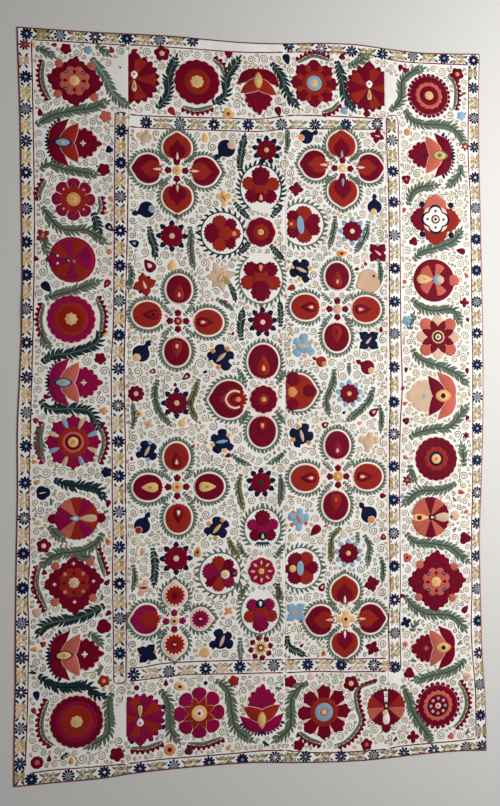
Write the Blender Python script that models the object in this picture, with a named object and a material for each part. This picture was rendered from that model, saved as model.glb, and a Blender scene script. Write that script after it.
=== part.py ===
"""An embroidered suzani lying flat: four loom widths of cotton sewn edge to edge, with a woven edging.

Metres, +Z up. X runs across the cloth, Y along it, and the paving it lies on is the plane z = 0.
The origin is at the middle of the cloth, on that plane.
"""
import math

import bpy

# Driving sizes of the cloth
WIDTH = 1.652
LENGTH = 2.558
CLOTH_THICKNESS = 0.0018
EDGING_WIDTH = 0.0038
EDGING_CROWN = 0.0004
PIECE_GAP = 0.0003
ROWS = 50

# Half the width of the cloth at its left and right sides, from the bottom edge (share 0) to the top (share 1)
SIDE_TABLE = (
    {"share": 0.00, "left": 0.826, "right": 0.819},
    {"share": 0.07, "left": 0.825, "right": 0.817},
    {"share": 0.14, "left": 0.822, "right": 0.808},
    {"share": 0.21, "left": 0.822, "right": 0.805},
    {"share": 0.30, "left": 0.820, "right": 0.803},
    {"share": 0.38, "left": 0.817, "right": 0.812},
    {"share": 0.46, "left": 0.818, "right": 0.821},
    {"share": 0.54, "left": 0.810, "right": 0.825},
    {"share": 0.62, "left": 0.804, "right": 0.825},
    {"share": 0.70, "left": 0.805, "right": 0.823},
    {"share": 0.79, "left": 0.809, "right": 0.821},
    {"share": 0.87, "left": 0.812, "right": 0.819},
    {"share": 0.94, "left": 0.818, "right": 0.821},
    {"share": 1.00, "left": 0.823, "right": 0.826},
)

# Distance of the bottom and top edges from the middle, from the left side (share 0) to the right (share 1)
END_TABLE = (
    {"share": 0.00, "bottom": 1.279, "top": 1.265},
    {"share": 0.08, "bottom": 1.275, "top": 1.264},
    {"share": 0.17, "bottom": 1.272, "top": 1.264},
    {"share": 0.24, "bottom": 1.262, "top": 1.266},
    {"share": 0.32, "bottom": 1.256, "top": 1.267},
    {"share": 0.40, "bottom": 1.253, "top": 1.263},
    {"share": 0.48, "bottom": 1.253, "top": 1.261},
    {"share": 0.56, "bottom": 1.262, "top": 1.266},
    {"share": 0.64, "bottom": 1.269, "top": 1.276},
    {"share": 0.72, "bottom": 1.272, "top": 1.279},
    {"share": 0.79, "bottom": 1.268, "top": 1.270},
    {"share": 0.86, "bottom": 1.263, "top": 1.264},
    {"share": 0.94, "bottom": 1.262, "top": 1.268},
    {"share": 1.00, "bottom": 1.266, "top": 1.273},
)

# The three sewn seams, each a straight line from the bottom edge to the top edge
SEAMS = (
    {"name": "left", "x_bottom": -0.455, "x_top": -0.450},
    {"name": "middle", "x_bottom": 0.083, "x_top": 0.099},
    {"name": "right", "x_bottom": 0.452, "x_top": 0.463},
)

# The loom widths from left to right, with the strips of faces across each
PANELS = (
    {"name": "panel_left", "columns": 8, "colour": (0.80, 0.76, 0.68)},
    {"name": "panel_wide", "columns": 11, "colour": (0.82, 0.78, 0.70)},
    {"name": "panel_middle", "columns": 8, "colour": (0.81, 0.77, 0.69)},
    {"name": "panel_right", "columns": 8, "colour": (0.80, 0.75, 0.67)},
)

# Soft ridges where the cloth lifts off the paving: middle, heading, half length, half width, height
RIDGES = (
    {"x": -0.470, "y": 0.700, "heading": 88, "half_length": 0.60, "half_width": 0.075, "height": 0.0050},
    {"x": -0.455, "y": -0.760, "heading": 91, "half_length": 0.50, "half_width": 0.070, "height": 0.0040},
    {"x": 0.095, "y": 0.930, "heading": 90, "half_length": 0.38, "half_width": 0.075, "height": 0.0045},
    {"x": 0.088, "y": -0.560, "heading": 89, "half_length": 0.55, "half_width": 0.070, "height": 0.0040},
    {"x": 0.460, "y": 0.620, "heading": 90, "half_length": 0.62, "half_width": 0.080, "height": 0.0050},
    {"x": 0.455, "y": -0.640, "heading": 89, "half_length": 0.48, "half_width": 0.070, "height": 0.0040},
    {"x": -0.690, "y": 0.330, "heading": 14, "half_length": 0.22, "half_width": 0.090, "height": 0.0045},
    {"x": -0.180, "y": 1.090, "heading": -8, "half_length": 0.30, "half_width": 0.100, "height": 0.0050},
    {"x": -0.640, "y": -0.930, "heading": -20, "half_length": 0.26, "half_width": 0.090, "height": 0.0055},
    {"x": 0.660, "y": -0.420, "heading": 28, "half_length": 0.24, "half_width": 0.090, "height": 0.0050},
    {"x": 0.620, "y": 1.060, "heading": -16, "half_length": 0.24, "half_width": 0.090, "height": 0.0045},
    {"x": -0.200, "y": -1.080, "heading": 7, "half_length": 0.32, "half_width": 0.090, "height": 0.0045},
    {"x": 0.640, "y": -1.060, "heading": 11, "half_length": 0.26, "half_width": 0.085, "height": 0.0050},
)

EDGINGS = (
    {"name": "edging_left", "colour": (0.26, 0.03, 0.06)},
    {"name": "edging_right", "colour": (0.34, 0.12, 0.14)},
    {"name": "edging_top", "colour": (0.27, 0.05, 0.06)},
    {"name": "edging_bottom", "colour": (0.30, 0.08, 0.08)},
)


def blend(first, second, share):
    return first + (second - first) * share


def along_table(table, column, share):
    """Reads a column at a share between its rows, on a smooth curve through them."""
    share = min(max(share, 0.0), 1.0)
    last = len(table) - 1
    row = 0
    while row < last - 1 and share > table[row + 1]["share"]:
        row += 1
    before = table[max(row - 1, 0)][column]
    start = table[row][column]
    end = table[row + 1][column]
    after = table[min(row + 2, last)][column]
    step = (share - table[row]["share"]) / (table[row + 1]["share"] - table[row]["share"])
    slope_in = (end - before) / 2
    slope_out = (after - start) / 2
    square = step * step
    cube = square * step
    return (start * (2 * cube - 3 * square + 1) + end * (3 * square - 2 * cube)
            + slope_in * (cube - 2 * square + step) + slope_out * (cube - square))


def left_side(y):
    return -along_table(SIDE_TABLE, "left", y / LENGTH + 0.5)


def right_side(y):
    return along_table(SIDE_TABLE, "right", y / LENGTH + 0.5)


def bottom_end(x):
    return -along_table(END_TABLE, "bottom", x / WIDTH + 0.5)


def top_end(x):
    return along_table(END_TABLE, "top", x / WIDTH + 0.5)


def seam_line(seam):
    """Gives the seam's place across the cloth as a function of the place along it."""
    def place(y):
        return blend(seam["x_bottom"], seam["x_top"], y / LENGTH + 0.5)
    return place


def lift(x, y):
    """How far the underside of the cloth stands off the paving."""
    height = 0.0
    for ridge in RIDGES:
        turn = math.radians(ridge["heading"])
        across, along = x - ridge["x"], y - ridge["y"]
        run = (across * math.cos(turn) + along * math.sin(turn)) / ridge["half_length"]
        side = (along * math.cos(turn) - across * math.sin(turn)) / ridge["half_width"]
        if abs(run) < 1 and abs(side) < 1:
            bump = math.cos(run * math.pi / 2) ** 2 * math.cos(side * math.pi / 2) ** 2
            height = max(height, ridge["height"] * bump)
    return height


def edging_room():
    """What the woven edging and its gap take from the cloth at an outer edge."""
    return EDGING_WIDTH + PIECE_GAP


def panel_sides():
    """The left and right limits of each loom width, as functions of the place along the cloth."""
    lines = [seam_line(seam) for seam in SEAMS]
    half_gap = PIECE_GAP / 2
    starts = [lambda y: left_side(y) + edging_room()]
    starts += [lambda y, line=line: line(y) + half_gap for line in lines]
    ends = [lambda y, line=line: line(y) - half_gap for line in lines]
    ends += [lambda y: right_side(y) - edging_room()]
    return list(zip(starts, ends))


def panel_points(sides, columns):
    """The plan of one loom width, as rows of (x, y) from the bottom edge to the top edge."""
    start, end = sides
    rows = []
    for row in range(ROWS + 1):
        share = row / ROWS
        guess_y = (share - 0.5) * LENGTH
        line = []
        for column in range(columns + 1):
            across = column / columns
            guess_x = blend(start(guess_y), end(guess_y), across)
            y = blend(bottom_end(guess_x) + edging_room(), top_end(guess_x) - edging_room(), share)
            line.append((blend(start(y), end(y), across), y))
        rows.append(line)
    return rows


def make_material(name, colour, roughness):
    material = bpy.data.materials.new(name)
    material.use_nodes = True
    shader = material.node_tree.nodes["Principled BSDF"]
    shader.inputs["Base Color"].default_value = (*colour, 1)
    shader.inputs["Roughness"].default_value = roughness
    return material


def add_object(name, vertices, faces, colour, roughness):
    mesh = bpy.data.meshes.new(name)
    mesh.from_pydata(vertices, [], faces)
    mesh.validate()
    mesh.materials.append(make_material(name, colour, roughness))
    mesh.shade_smooth()
    mesh.set_sharp_from_angle(angle=math.radians(40))
    piece = bpy.data.objects.new(name, mesh)
    bpy.context.collection.objects.link(piece)
    return piece


def closed_sheet(name, rows, colour):
    """A sheet of even thickness over the rows of plan points, with its edges closed."""
    height, width = len(rows), len(rows[0])
    plan = [point for row in rows for point in row]
    under = [(x, y, lift(x, y)) for x, y in plan]
    over = [(x, y, z + CLOTH_THICKNESS) for x, y, z in under]
    layer = len(plan)

    def place(row, column):
        return row * width + column

    faces = []
    for row in range(height - 1):
        for column in range(width - 1):
            corners = (place(row, column), place(row, column + 1),
                       place(row + 1, column + 1), place(row + 1, column))
            faces.append(tuple(layer + corner for corner in corners))
            faces.append(tuple(reversed(corners)))
    rim = [place(0, column) for column in range(width)]
    rim += [place(row, width - 1) for row in range(1, height)]
    rim += [place(height - 1, column) for column in range(width - 2, -1, -1)]
    rim += [place(row, 0) for row in range(height - 2, 0, -1)]
    for first, second in zip(rim, rim[1:] + rim[:1]):
        faces.append((first, second, layer + second, layer + first))
    return add_object(name, under + over, faces, colour, 0.9)


def closed_strip(name, outer, inner, colour):
    """A narrow woven strip between two lines of plan points, flat below and slightly crowned above."""
    vertices = []
    for (outer_x, outer_y), (inner_x, inner_y) in zip(outer, inner):
        middle_x, middle_y = blend(outer_x, inner_x, 0.5), blend(outer_y, inner_y, 0.5)
        base = lift(inner_x, inner_y)
        top = base + CLOTH_THICKNESS
        vertices += [(outer_x, outer_y, base), (inner_x, inner_y, base), (inner_x, inner_y, top),
                     (middle_x, middle_y, top + EDGING_CROWN), (outer_x, outer_y, top)]
    ring = 5
    faces = []
    for section in range(len(outer) - 1):
        here, there = section * ring, (section + 1) * ring
        for side in range(ring):
            after = (side + 1) % ring
            faces.append((here + side, here + after, there + after, there + side))
    last = (len(outer) - 1) * ring
    faces.append(tuple(range(ring - 1, -1, -1)))
    faces.append(tuple(last + side for side in range(ring)))
    return add_object(name, vertices, faces, colour, 0.8)


def side_strip(name, side, inward, panel_line, colour):
    """The edging of the left or right side: it runs the whole height, past the ends of the cloth."""
    ends = [bottom_end(side(-LENGTH / 2)), top_end(side(LENGTH / 2))]
    places = [ends[0]] + [y for _, y in panel_line] + [ends[1]]
    outer = [(side(y), y) for y in places]
    inner = [(side(y) + inward * EDGING_WIDTH, y) for y in places]
    if inward > 0:
        outer, inner = outer[::-1], inner[::-1]
    closed_strip(name, outer, inner, colour)


def end_strip(name, end, inward, places, colour):
    """The edging of the top or bottom end: it fits between the two side strips."""
    outer = [(x, end(x)) for x in places]
    inner = [(x, end(x) + inward * EDGING_WIDTH) for x in places]
    if inward < 0:
        outer, inner = outer[::-1], inner[::-1]
    closed_strip(name, outer, inner, colour)


def end_places(rows_of_panels, row, end):
    """The stations of an end strip: those of the cloth's own edge, clear of the side strips."""
    places = [x for rows in rows_of_panels for x, _ in rows[row]]
    apart = [places[0]]
    for x in places[1:]:
        if x - apart[-1] > 2 * PIECE_GAP:
            apart.append(x)
    corner_y = end(0)
    apart[0] = max(apart[0], left_side(corner_y) + edging_room())
    apart[-1] = min(apart[-1], right_side(corner_y) - edging_room())
    return apart


def build():
    for old in list(bpy.data.objects):
        bpy.data.objects.remove(old)
    rows_of_panels = []
    for panel, sides in zip(PANELS, panel_sides()):
        rows = panel_points(sides, panel["columns"])
        rows_of_panels.append(rows)
        closed_sheet(panel["name"], rows, panel["colour"])
    left, right, top, bottom = EDGINGS
    left_line = [row[0] for row in rows_of_panels[0]]
    right_line = [row[-1] for row in rows_of_panels[-1]]
    side_strip(left["name"], left_side, 1, left_line, left["colour"])
    side_strip(right["name"], right_side, -1, right_line, right["colour"])
    end_strip(top["name"], top_end, -1, end_places(rows_of_panels, -1, top_end), top["colour"])
    end_strip(bottom["name"], bottom_end, 1, end_places(rows_of_panels, 0, bottom_end), bottom["colour"])


build()
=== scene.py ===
"""Dresses a suzani that lies flat: cotton loom widths, a woven edging and raised silk embroidery.

The embroidery is planned in millimetres from the middle of the cloth, X across and Y along it, and is
laid on the cloth's folds last. Each thread colour is one joined piece.
"""
import math
import random

import bpy
import numpy as np
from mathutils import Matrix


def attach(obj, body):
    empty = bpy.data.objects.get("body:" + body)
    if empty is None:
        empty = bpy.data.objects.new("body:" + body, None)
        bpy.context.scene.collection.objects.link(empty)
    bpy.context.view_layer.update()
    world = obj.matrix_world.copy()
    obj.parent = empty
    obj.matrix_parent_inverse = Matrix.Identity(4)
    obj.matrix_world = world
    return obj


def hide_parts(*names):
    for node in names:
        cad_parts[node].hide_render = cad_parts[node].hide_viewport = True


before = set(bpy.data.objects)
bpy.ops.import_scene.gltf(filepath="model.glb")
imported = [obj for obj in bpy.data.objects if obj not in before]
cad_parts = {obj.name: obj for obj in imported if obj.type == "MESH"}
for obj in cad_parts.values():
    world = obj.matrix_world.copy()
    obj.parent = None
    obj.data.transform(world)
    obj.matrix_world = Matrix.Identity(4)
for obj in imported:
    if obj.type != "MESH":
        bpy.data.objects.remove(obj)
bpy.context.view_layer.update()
chance = random.Random(7)


def value(word):
    """A number, a group joined by commas, a word, or nothing where a table has a dash."""
    if "," in word:
        return tuple(value(part) for part in word.split(","))
    if word[-1].isdigit():
        return float(word) if "." in word else int(word)
    return None if word == "-" else word


def rows(table):
    """Reads rows parted by semicolons; the first line names the columns, and the last takes what is left."""
    head, _, body = table.partition("\n")
    names = head.split()
    read = []
    for row in body.split(";"):
        values = [value(word) for word in row.split()]
        if len(values) > len(names):
            values[len(names) - 1:] = [values[len(names) - 1:]]
        read.append(dict(zip(names, values)))
    return read


# Driving sizes of the cloth in metres, as in the solids
WIDTH = 1.652
LENGTH = 2.558
EDGING_WIDTH = 0.0038
PIECE_GAP = 0.0003
COTTON_THICKNESS = 0.0011
EDGING_THICKNESS = 0.0016
SEAM_DIP = 0.0006
SEAM_DIP_REACH = 0.004

# Sizes of the stitching, in millimetres
MM = 0.001
SILK_RISE = 0.55
LAYER_RISE = 0.26
RIM_SINK = 0.35
RIM_WIDTH = 1.3
GUARD_FLOWER_REACH = 22.0
FINE_RING = 10.0
BROAD_STITCH = 4.1
POLE_REACH = 1.0
GRID_STEP = 2.0
SPIRAL_MARGIN = 1.6
SPIRAL_REACH = 18.0
SPIRAL_LEAST = 5.0
SPIRAL_THREAD = 2.0
BUD_PITCH = 15.0

# Stations of the cotton and the edging, in metres or counted
COTTON_STEP = 0.018
HEM_TURN = 0.0028
HEM_ROLL = 0.0003
CORNER_X = 0.82
CORNER_Y = 1.26
SIDE_STATIONS = 320
END_STATIONS = 210

# Faces smaller than this, in square metres, are left out where stitching is cut off
LEAST_FACE = 2e-9

# Half the width of the cloth at its sides, from the bottom edge (share 0) to the top (share 1)
SIDE_TABLE = rows("""share left right
0.0 0.826 0.819; 0.07 0.825 0.817; 0.14 0.822 0.808; 0.21 0.822 0.805; 0.3 0.82 0.803; 0.38 0.817 0.812;
0.46 0.818 0.821; 0.54 0.81 0.825; 0.62 0.804 0.825; 0.7 0.805 0.823; 0.79 0.809 0.821; 0.87 0.812 0.819;
0.94 0.818 0.821; 1.0 0.823 0.826""")

# Distance of the two ends from the middle, from the left side (share 0) to the right (share 1)
END_TABLE = rows("""share bottom top
0.0 1.279 1.265; 0.08 1.275 1.264; 0.17 1.272 1.264; 0.24 1.262 1.266; 0.32 1.256 1.267; 0.4 1.253 1.263;
0.48 1.253 1.261; 0.56 1.262 1.266; 0.64 1.269 1.276; 0.72 1.272 1.279; 0.79 1.268 1.27; 0.86 1.263 1.264;
0.94 1.262 1.268; 1.0 1.266 1.273""")

SEAMS = rows("""x_bottom x_top
-0.455 -0.45; 0.083 0.099; 0.452 0.463""")

PANELS = ("panel_left", "panel_wide", "panel_middle", "panel_right")

# Soft ridges where the cloth lifts off the paving, as in the solids
RIDGES = rows("""x y heading half_length half_width height
-0.47 0.7 88 0.6 0.075 0.005; -0.455 -0.76 91 0.5 0.07 0.004; 0.095 0.93 90 0.38 0.075 0.0045;
0.088 -0.56 89 0.55 0.07 0.004; 0.46 0.62 90 0.62 0.08 0.005; 0.455 -0.64 89 0.48 0.07 0.004;
-0.69 0.33 14 0.22 0.09 0.0045; -0.18 1.09 -8 0.3 0.1 0.005; -0.64 -0.93 -20 0.26 0.09 0.0055;
0.66 -0.42 28 0.24 0.09 0.005; 0.62 1.06 -16 0.24 0.09 0.0045; -0.2 -1.08 7 0.32 0.09 0.0045;
0.64 -1.06 11 0.26 0.085 0.005""")

# The thread colours, as red, green and blue shares of the screen's full light, and the record's slot
THREADS = rows("""name slot colour
crimson crimson_silk 0.43,0.0,0.12; magenta magenta_silk 0.53,0.03,0.25; rust rust_silk 0.57,0.14,0.1;
scarlet rust_silk 0.57,0.1,0.07; salmon salmon_silk 0.74,0.37,0.31; gold gold_silk 0.88,0.71,0.46;
orange gold_silk 0.83,0.56,0.33; beige pale_silk 0.82,0.69,0.58; blush pale_silk 0.92,0.78,0.72;
white pale_silk 0.93,0.91,0.88; navy navy_silk 0.04,0.08,0.21; blue blue_silk 0.52,0.65,0.74;
teal green_silk 0.11,0.19,0.2; green green_silk 0.37,0.42,0.35; olive olive_silk 0.43,0.43,0.26;
plum magenta_silk 0.28,0.13,0.2; tan tan_silk 0.59,0.53,0.32""")


def blend(first, second, share):
    return first + (second - first) * share


def along_table(table, column, share):
    """Reads a column at shares between its rows, on a smooth curve through them."""
    shares = np.array([row["share"] for row in table])
    values = np.array([row[column] for row in table])
    share = np.clip(np.asarray(share, float), 0.0, 1.0)
    row = np.clip(np.searchsorted(shares, share, side="left") - 1, 0, len(table) - 2)
    last = len(table) - 1
    before, start = values[np.maximum(row - 1, 0)], values[row]
    end, after = values[row + 1], values[np.minimum(row + 2, last)]
    step = (share - shares[row]) / (shares[row + 1] - shares[row])
    square, cube = step ** 2, step ** 3
    return (start * (2 * cube - 3 * square + 1) + end * (3 * square - 2 * cube)
            + (end - before) / 2 * (cube - 2 * square + step) + (after - start) / 2 * (cube - square))


def left_side(y):
    return -along_table(SIDE_TABLE, "left", y / LENGTH + 0.5)


def right_side(y):
    return along_table(SIDE_TABLE, "right", y / LENGTH + 0.5)


def bottom_end(x):
    return -along_table(END_TABLE, "bottom", x / WIDTH + 0.5)


def top_end(x):
    return along_table(END_TABLE, "top", x / WIDTH + 0.5)


def seam_place(seam, y):
    return blend(seam["x_bottom"], seam["x_top"], y / LENGTH + 0.5)


def lift(x, y):
    """How far the underside of the cloth stands off the paving."""
    height = np.zeros_like(x)
    for ridge in RIDGES:
        turn = math.radians(ridge["heading"])
        across, along = x - ridge["x"], y - ridge["y"]
        run = (across * math.cos(turn) + along * math.sin(turn)) / ridge["half_length"]
        side = (along * math.cos(turn) - across * math.sin(turn)) / ridge["half_width"]
        run, side = np.clip(run, -1, 1), np.clip(side, -1, 1)
        bump = np.cos(run * math.pi / 2) ** 2 * np.cos(side * math.pi / 2) ** 2
        height = np.maximum(height, ridge["height"] * bump)
    return height


def pucker(x, y):
    """Small creases: drawn-up cloth beside the seams, and a faint unevenness all over."""
    height = 0.00022 * (1 + np.sin(x * 71 + 2.1 * np.sin(y * 23)) * np.sin(y * 63 + 1.7 * np.sin(x * 31)))
    for seam in SEAMS:
        away = np.abs(x - seam_place(seam, y))
        draw = np.exp(-(away / 0.028) ** 2)
        height += 0.0004 * draw * (1 + np.sin(y * 110 + 3 * np.sin(y * 17) + away * 60))
        height += 0.0004 * np.exp(-((away - 0.02) / 0.01) ** 2)
        dip = np.clip(1 - away / SEAM_DIP_REACH, 0, 1)
        height -= SEAM_DIP * dip ** 2
    return np.maximum(height, 0)


def cloth_top(x, y):
    return lift(x, y) + pucker(x, y) + COTTON_THICKNESS


# Plans of the stitched shapes: how far an outline reaches from its middle, at an angle

def even(reach):
    return lambda angle: reach + 0 * angle


def outline_of(shape):
    """An outline as it is, and a plain number as a circle."""
    return shape if callable(shape) else even(shape)


def scalloped(reach, count, depth, turn=0.0):
    """Round lobes with sharp notches between them."""
    def outline(angle):
        swing = np.abs(np.cos(count * (angle - math.radians(turn)) / 2))
        return reach * (1 - depth * (1 - swing))
    return outline


def pointed(reach, count, depth, turn=0.0):
    """Straight-sided points."""
    def outline(angle):
        place = ((angle - math.radians(turn)) * count / math.tau) % 1
        return reach * (1 - depth * (1 - np.abs(2 * place - 1)))
    return outline


def petalled(reach, count, depth, turn=0.0, tip=0.0):
    """Broad petals with narrow notches between them, each with a tip if asked."""
    def outline(angle):
        place = ((angle - math.radians(turn)) * count / math.tau) % 1
        near = np.abs(2 * place - 1)
        out = 1 - depth * (1 - near) ** 2.6
        return reach * (out + tip * np.clip((near - 0.72) / 0.28, 0, 1) ** 1.6)
    return outline


def fringed(outline, count, depth):
    """Another outline with small scallops along it."""
    def fringe(angle):
        return outline(angle) * (1 - depth * (1 - np.abs(np.cos(count * angle / 2))))
    return fringe


def heart(reach, turn, tip=0.16, notch=0.16, wide=1.06):
    """A broad petal with a soft tip in the turned direction and a drawn-in base."""
    def outline(angle):
        away = np.angle(np.exp(1j * (angle - math.radians(turn))))
        side = np.abs(np.sin(away))
        base = np.exp(-((math.pi - np.abs(away)) / 0.5) ** 2)
        return reach * (0.96 + (wide - 1) * side + tip * np.exp(-(away / 0.28) ** 2) - notch * base)
    return outline


def oval(long_reach, short_reach, turn=0.0):
    def outline(angle):
        away = angle - math.radians(turn)
        return 1 / np.sqrt((np.cos(away) / long_reach) ** 2 + (np.sin(away) / short_reach) ** 2)
    return outline


# Where stitching already lies, on a coarse grid over the cloth
GRID_WIDE = int(WIDTH / MM / GRID_STEP) + 2
GRID_LONG = int(LENGTH / MM / GRID_STEP) + 2
GRID_X = (np.arange(GRID_WIDE) - GRID_WIDE / 2) * GRID_STEP
GRID_Y = (np.arange(GRID_LONG) - GRID_LONG / 2) * GRID_STEP
busy = np.zeros((GRID_LONG, GRID_WIDE), bool)


def grid_window(x, y, reach):
    """The part of the grid round a point, as slices."""
    left = int(np.clip((x - reach) / GRID_STEP + GRID_WIDE / 2, 0, GRID_WIDE - 1))
    right = int(np.clip((x + reach) / GRID_STEP + GRID_WIDE / 2 + 2, 1, GRID_WIDE))
    low = int(np.clip((y - reach) / GRID_STEP + GRID_LONG / 2, 0, GRID_LONG - 1))
    high = int(np.clip((y + reach) / GRID_STEP + GRID_LONG / 2 + 2, 1, GRID_LONG))
    return slice(low, high), slice(left, right)


def take_disc(x, y, reach):
    rows, columns = grid_window(x, y, reach)
    apart = np.hypot(GRID_X[columns][None, :] - x, GRID_Y[rows][:, None] - y)
    busy[rows, columns] |= apart < reach


def take_outline(x, y, outline, largest):
    rows, columns = grid_window(x, y, largest)
    across = GRID_X[columns][None, :] - x
    along = GRID_Y[rows][:, None] - y
    busy[rows, columns] |= np.hypot(across, along) < outline(np.arctan2(along, across))


# The stitched patches

class Thread:
    """All patches of one colour, kept until they are made into a mesh."""

    def __init__(self):
        self.plans, self.rises, self.maps, self.shades, self.faces = [], [], [], [], []
        self.count = 0

    def add(self, plan, rise, corners, shade, faces):
        """Keeps one patch: plan and rise of its points, runs of the thread at its faces' corners."""
        self.plans.append(plan)
        self.rises.append(rise)
        self.maps.append(corners.reshape(-1, 2) * MM)
        self.shades.append(np.full(len(plan), shade))
        self.faces.append(faces + self.count)
        self.count += len(plan)


threads = {row["name"]: Thread() for row in THREADS}
limits = {"left": -2000.0, "right": 2000.0}


def within(points):
    """Cuts a patch off straight at the seams in force."""
    points[:, 0] = np.clip(points[:, 0], limits["left"], limits["right"])
    return points


def grid_faces(rows, columns, closed):
    """Quads over rows of points, closed round the columns if asked."""
    row = np.arange(rows - 1)[:, None]
    column = np.arange(columns if closed else columns - 1)[None, :]
    after = (column + 1) % columns
    corners = [row * columns + column, row * columns + after,
               (row + 1) * columns + after, (row + 1) * columns + column]
    return np.stack([corner.ravel() for corner in corners], axis=1)


def polar(colour, x, y, outline, start=0.0, end=360.0, inner=0.0, layer=1, steps=48, lay=None, solid=True):
    """A patch round a point between two angles, out to an outline; lay turns its threads one way."""
    reach = outline_of(outline)
    closed = abs(end - start) >= 360
    steps += steps % 2
    edge = min(0.05, 0.7 / abs(end - start))
    spread = np.linspace(0, 1, steps, endpoint=False) if closed else \
        np.concatenate([[0], np.linspace(edge, 1 - edge, steps), [1]])
    angle = np.radians(blend(start, end, spread))
    far = reach(angle)
    hub = closed and not inner
    near = np.full_like(angle, POLE_REACH if hub else inner + 0.05)
    rim = np.minimum(RIM_WIDTH, (far - near) * 0.3)
    pieces = max(1, int((np.max(far) - np.min(near)) / FINE_RING))
    bands = [blend(near, far - rim, share) for share in np.linspace(0, 1, pieces + 1)] + [far]
    raised = [1] * (pieces + 1) + [0]
    if inner:
        bands.insert(1, near + rim)
        raised[0:1] = [0, 1]
    distance = np.stack(bands)
    top = SILK_RISE + LAYER_RISE * (layer - 1)
    low = -RIM_SINK if layer == 1 else top - LAYER_RISE - RIM_SINK
    rise = np.repeat(np.where(np.array(raised)[:, None] > 0, top, low), len(angle), axis=1)
    if not closed:
        rise[:, 0] = low
        rise[:, -1] = low
    across, along = distance * np.cos(angle), distance * np.sin(angle)
    around = float(np.mean(far)) * 0.7
    if lay is None:
        runs = np.stack([distance, angle * around + 0 * distance], axis=-1)
    else:
        turn = math.radians(lay)
        runs = np.stack([across * math.cos(turn) + along * math.sin(turn),
                         along * math.cos(turn) - across * math.sin(turn)], axis=-1)
    plan = np.stack([x + across, y + along], axis=-1).reshape(-1, 2)
    columns = len(angle)
    faces = grid_faces(len(bands), columns, closed)[:, ::-1]
    corners = runs.reshape(-1, 2)[faces]
    if closed and lay is None:
        last = np.arange(len(faces)) % columns == columns - 1
        corners[..., 1] += np.where(last[:, None] & (faces % columns == 0), math.tau * around, 0)
    rise = rise.ravel()
    if hub:
        first = np.arange(0, columns, 2)
        fan = np.stack([np.full(len(first), len(plan)), first, first + 1, (first + 2) % columns], axis=1)
        fan_corners = runs.reshape(-1, 2)[np.where(fan == len(plan), first[:, None] + 1, fan)]
        fan_corners[:, 0, 0] = 0 if lay is None else fan_corners[:, 0, 0]
        faces, corners = np.vstack([faces, fan]), np.vstack([corners, fan_corners])
        plan, rise = np.vstack([plan, (x, y)]), np.append(rise, top)
    threads[colour].add(within(plan), rise, corners, chance.uniform(-1, 1), faces)
    if closed and solid and layer <= 1:
        take_outline(x, y, lambda a: reach(a) + 1.5, float(np.max(far)) + 3)


def smooth(points, step):
    """A smooth curve through points, sampled about every step."""
    points = np.asarray(points, float)
    if len(points) < 3:
        points = np.array([points[0], points.mean(axis=0), points[-1]])
    ends = np.vstack([2 * points[0] - points[1], points, 2 * points[-1] - points[-2]])
    out = []
    for before, start, end, after in zip(ends, ends[1:], ends[2:], ends[3:]):
        pieces = max(1, int(round(np.hypot(*(end - start)) / step)))
        share = np.arange(pieces)[:, None] / pieces
        square, cube = share ** 2, share ** 3
        out.append(0.5 * (2 * start + (end - before) * share
                          + (2 * before - 5 * start + 4 * end - after) * square
                          + (3 * start - before - 3 * end + after) * cube))
    out.append(points[-1:])
    return np.vstack(out)


def headings(line):
    run = np.gradient(line, axis=0)
    return run / np.maximum(np.hypot(run[:, 0], run[:, 1]), 1e-6)[:, None]


def strip(colour, line, half_width, layer=1, rise=None, solid=True):
    """A band of stitches along a line of points; half_width may change along it."""
    line = np.asarray(line, float)
    half_width = half_width + np.zeros(len(line))
    forward = headings(line)
    sideways = np.stack([-forward[:, 1], forward[:, 0]], axis=1)
    run = np.concatenate([[0], np.cumsum(np.hypot(*np.diff(line, axis=0).T))])
    rim = np.minimum(RIM_WIDTH, half_width * 0.55)
    broad = np.max(half_width) > BROAD_STITCH
    offsets = [-half_width, -(half_width - rim), half_width - rim, half_width] if broad else \
        [-half_width, 0 * half_width, half_width]
    raised = [0, 1, 1, 0] if broad else [0, 1, 0]
    top = (SILK_RISE if rise is None else rise) + LAYER_RISE * (layer - 1)
    sink = RIM_SINK if broad else RIM_SINK * 0.3
    low = -sink if layer == 1 else top - LAYER_RISE - sink
    plan = np.stack([line + sideways * offset[:, None] for offset in offsets], axis=1)
    height = np.array([top if up else low for up in raised])[None, :] + np.zeros((len(line), 1))
    height[0] = height[-1] = low
    runs = np.stack([np.repeat(run[:, None], len(offsets), axis=1), np.stack(offsets, axis=1)], axis=-1)
    faces = grid_faces(len(line), len(offsets), False)[:, ::-1]
    threads[colour].add(within(plan.reshape(-1, 2)), height.ravel(), runs.reshape(-1, 2)[faces],
                        chance.uniform(-1, 1), faces)
    if solid:
        for (x, y), reach in zip(line[::2], half_width[::2]):
            take_disc(x, y, reach + 1.5)


LEAF_SHARES = np.array([0.0, 0.18, 0.45, 0.72, 1.0])
LEAF_WIDTHS = np.array([0.45, 0.92, 1.0, 0.62, 0.08])


def leaf(colour, x, y, heading, length, width, curl=0.0, layer=1, profile=LEAF_WIDTHS, solid=True):
    """A pointed leaf that starts at a point and may curl to one side."""
    share = np.linspace(0, 1, len(profile)) if profile is not LEAF_WIDTHS else LEAF_SHARES
    turn = math.radians(heading)
    bow = curl * length * share ** 2
    along, side = length * share, bow
    line = np.stack([x + along * math.cos(turn) - side * math.sin(turn),
                     y + along * math.sin(turn) + side * math.cos(turn)], axis=1)
    strip(colour, line, profile * width / 2, layer, solid=solid)


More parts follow.
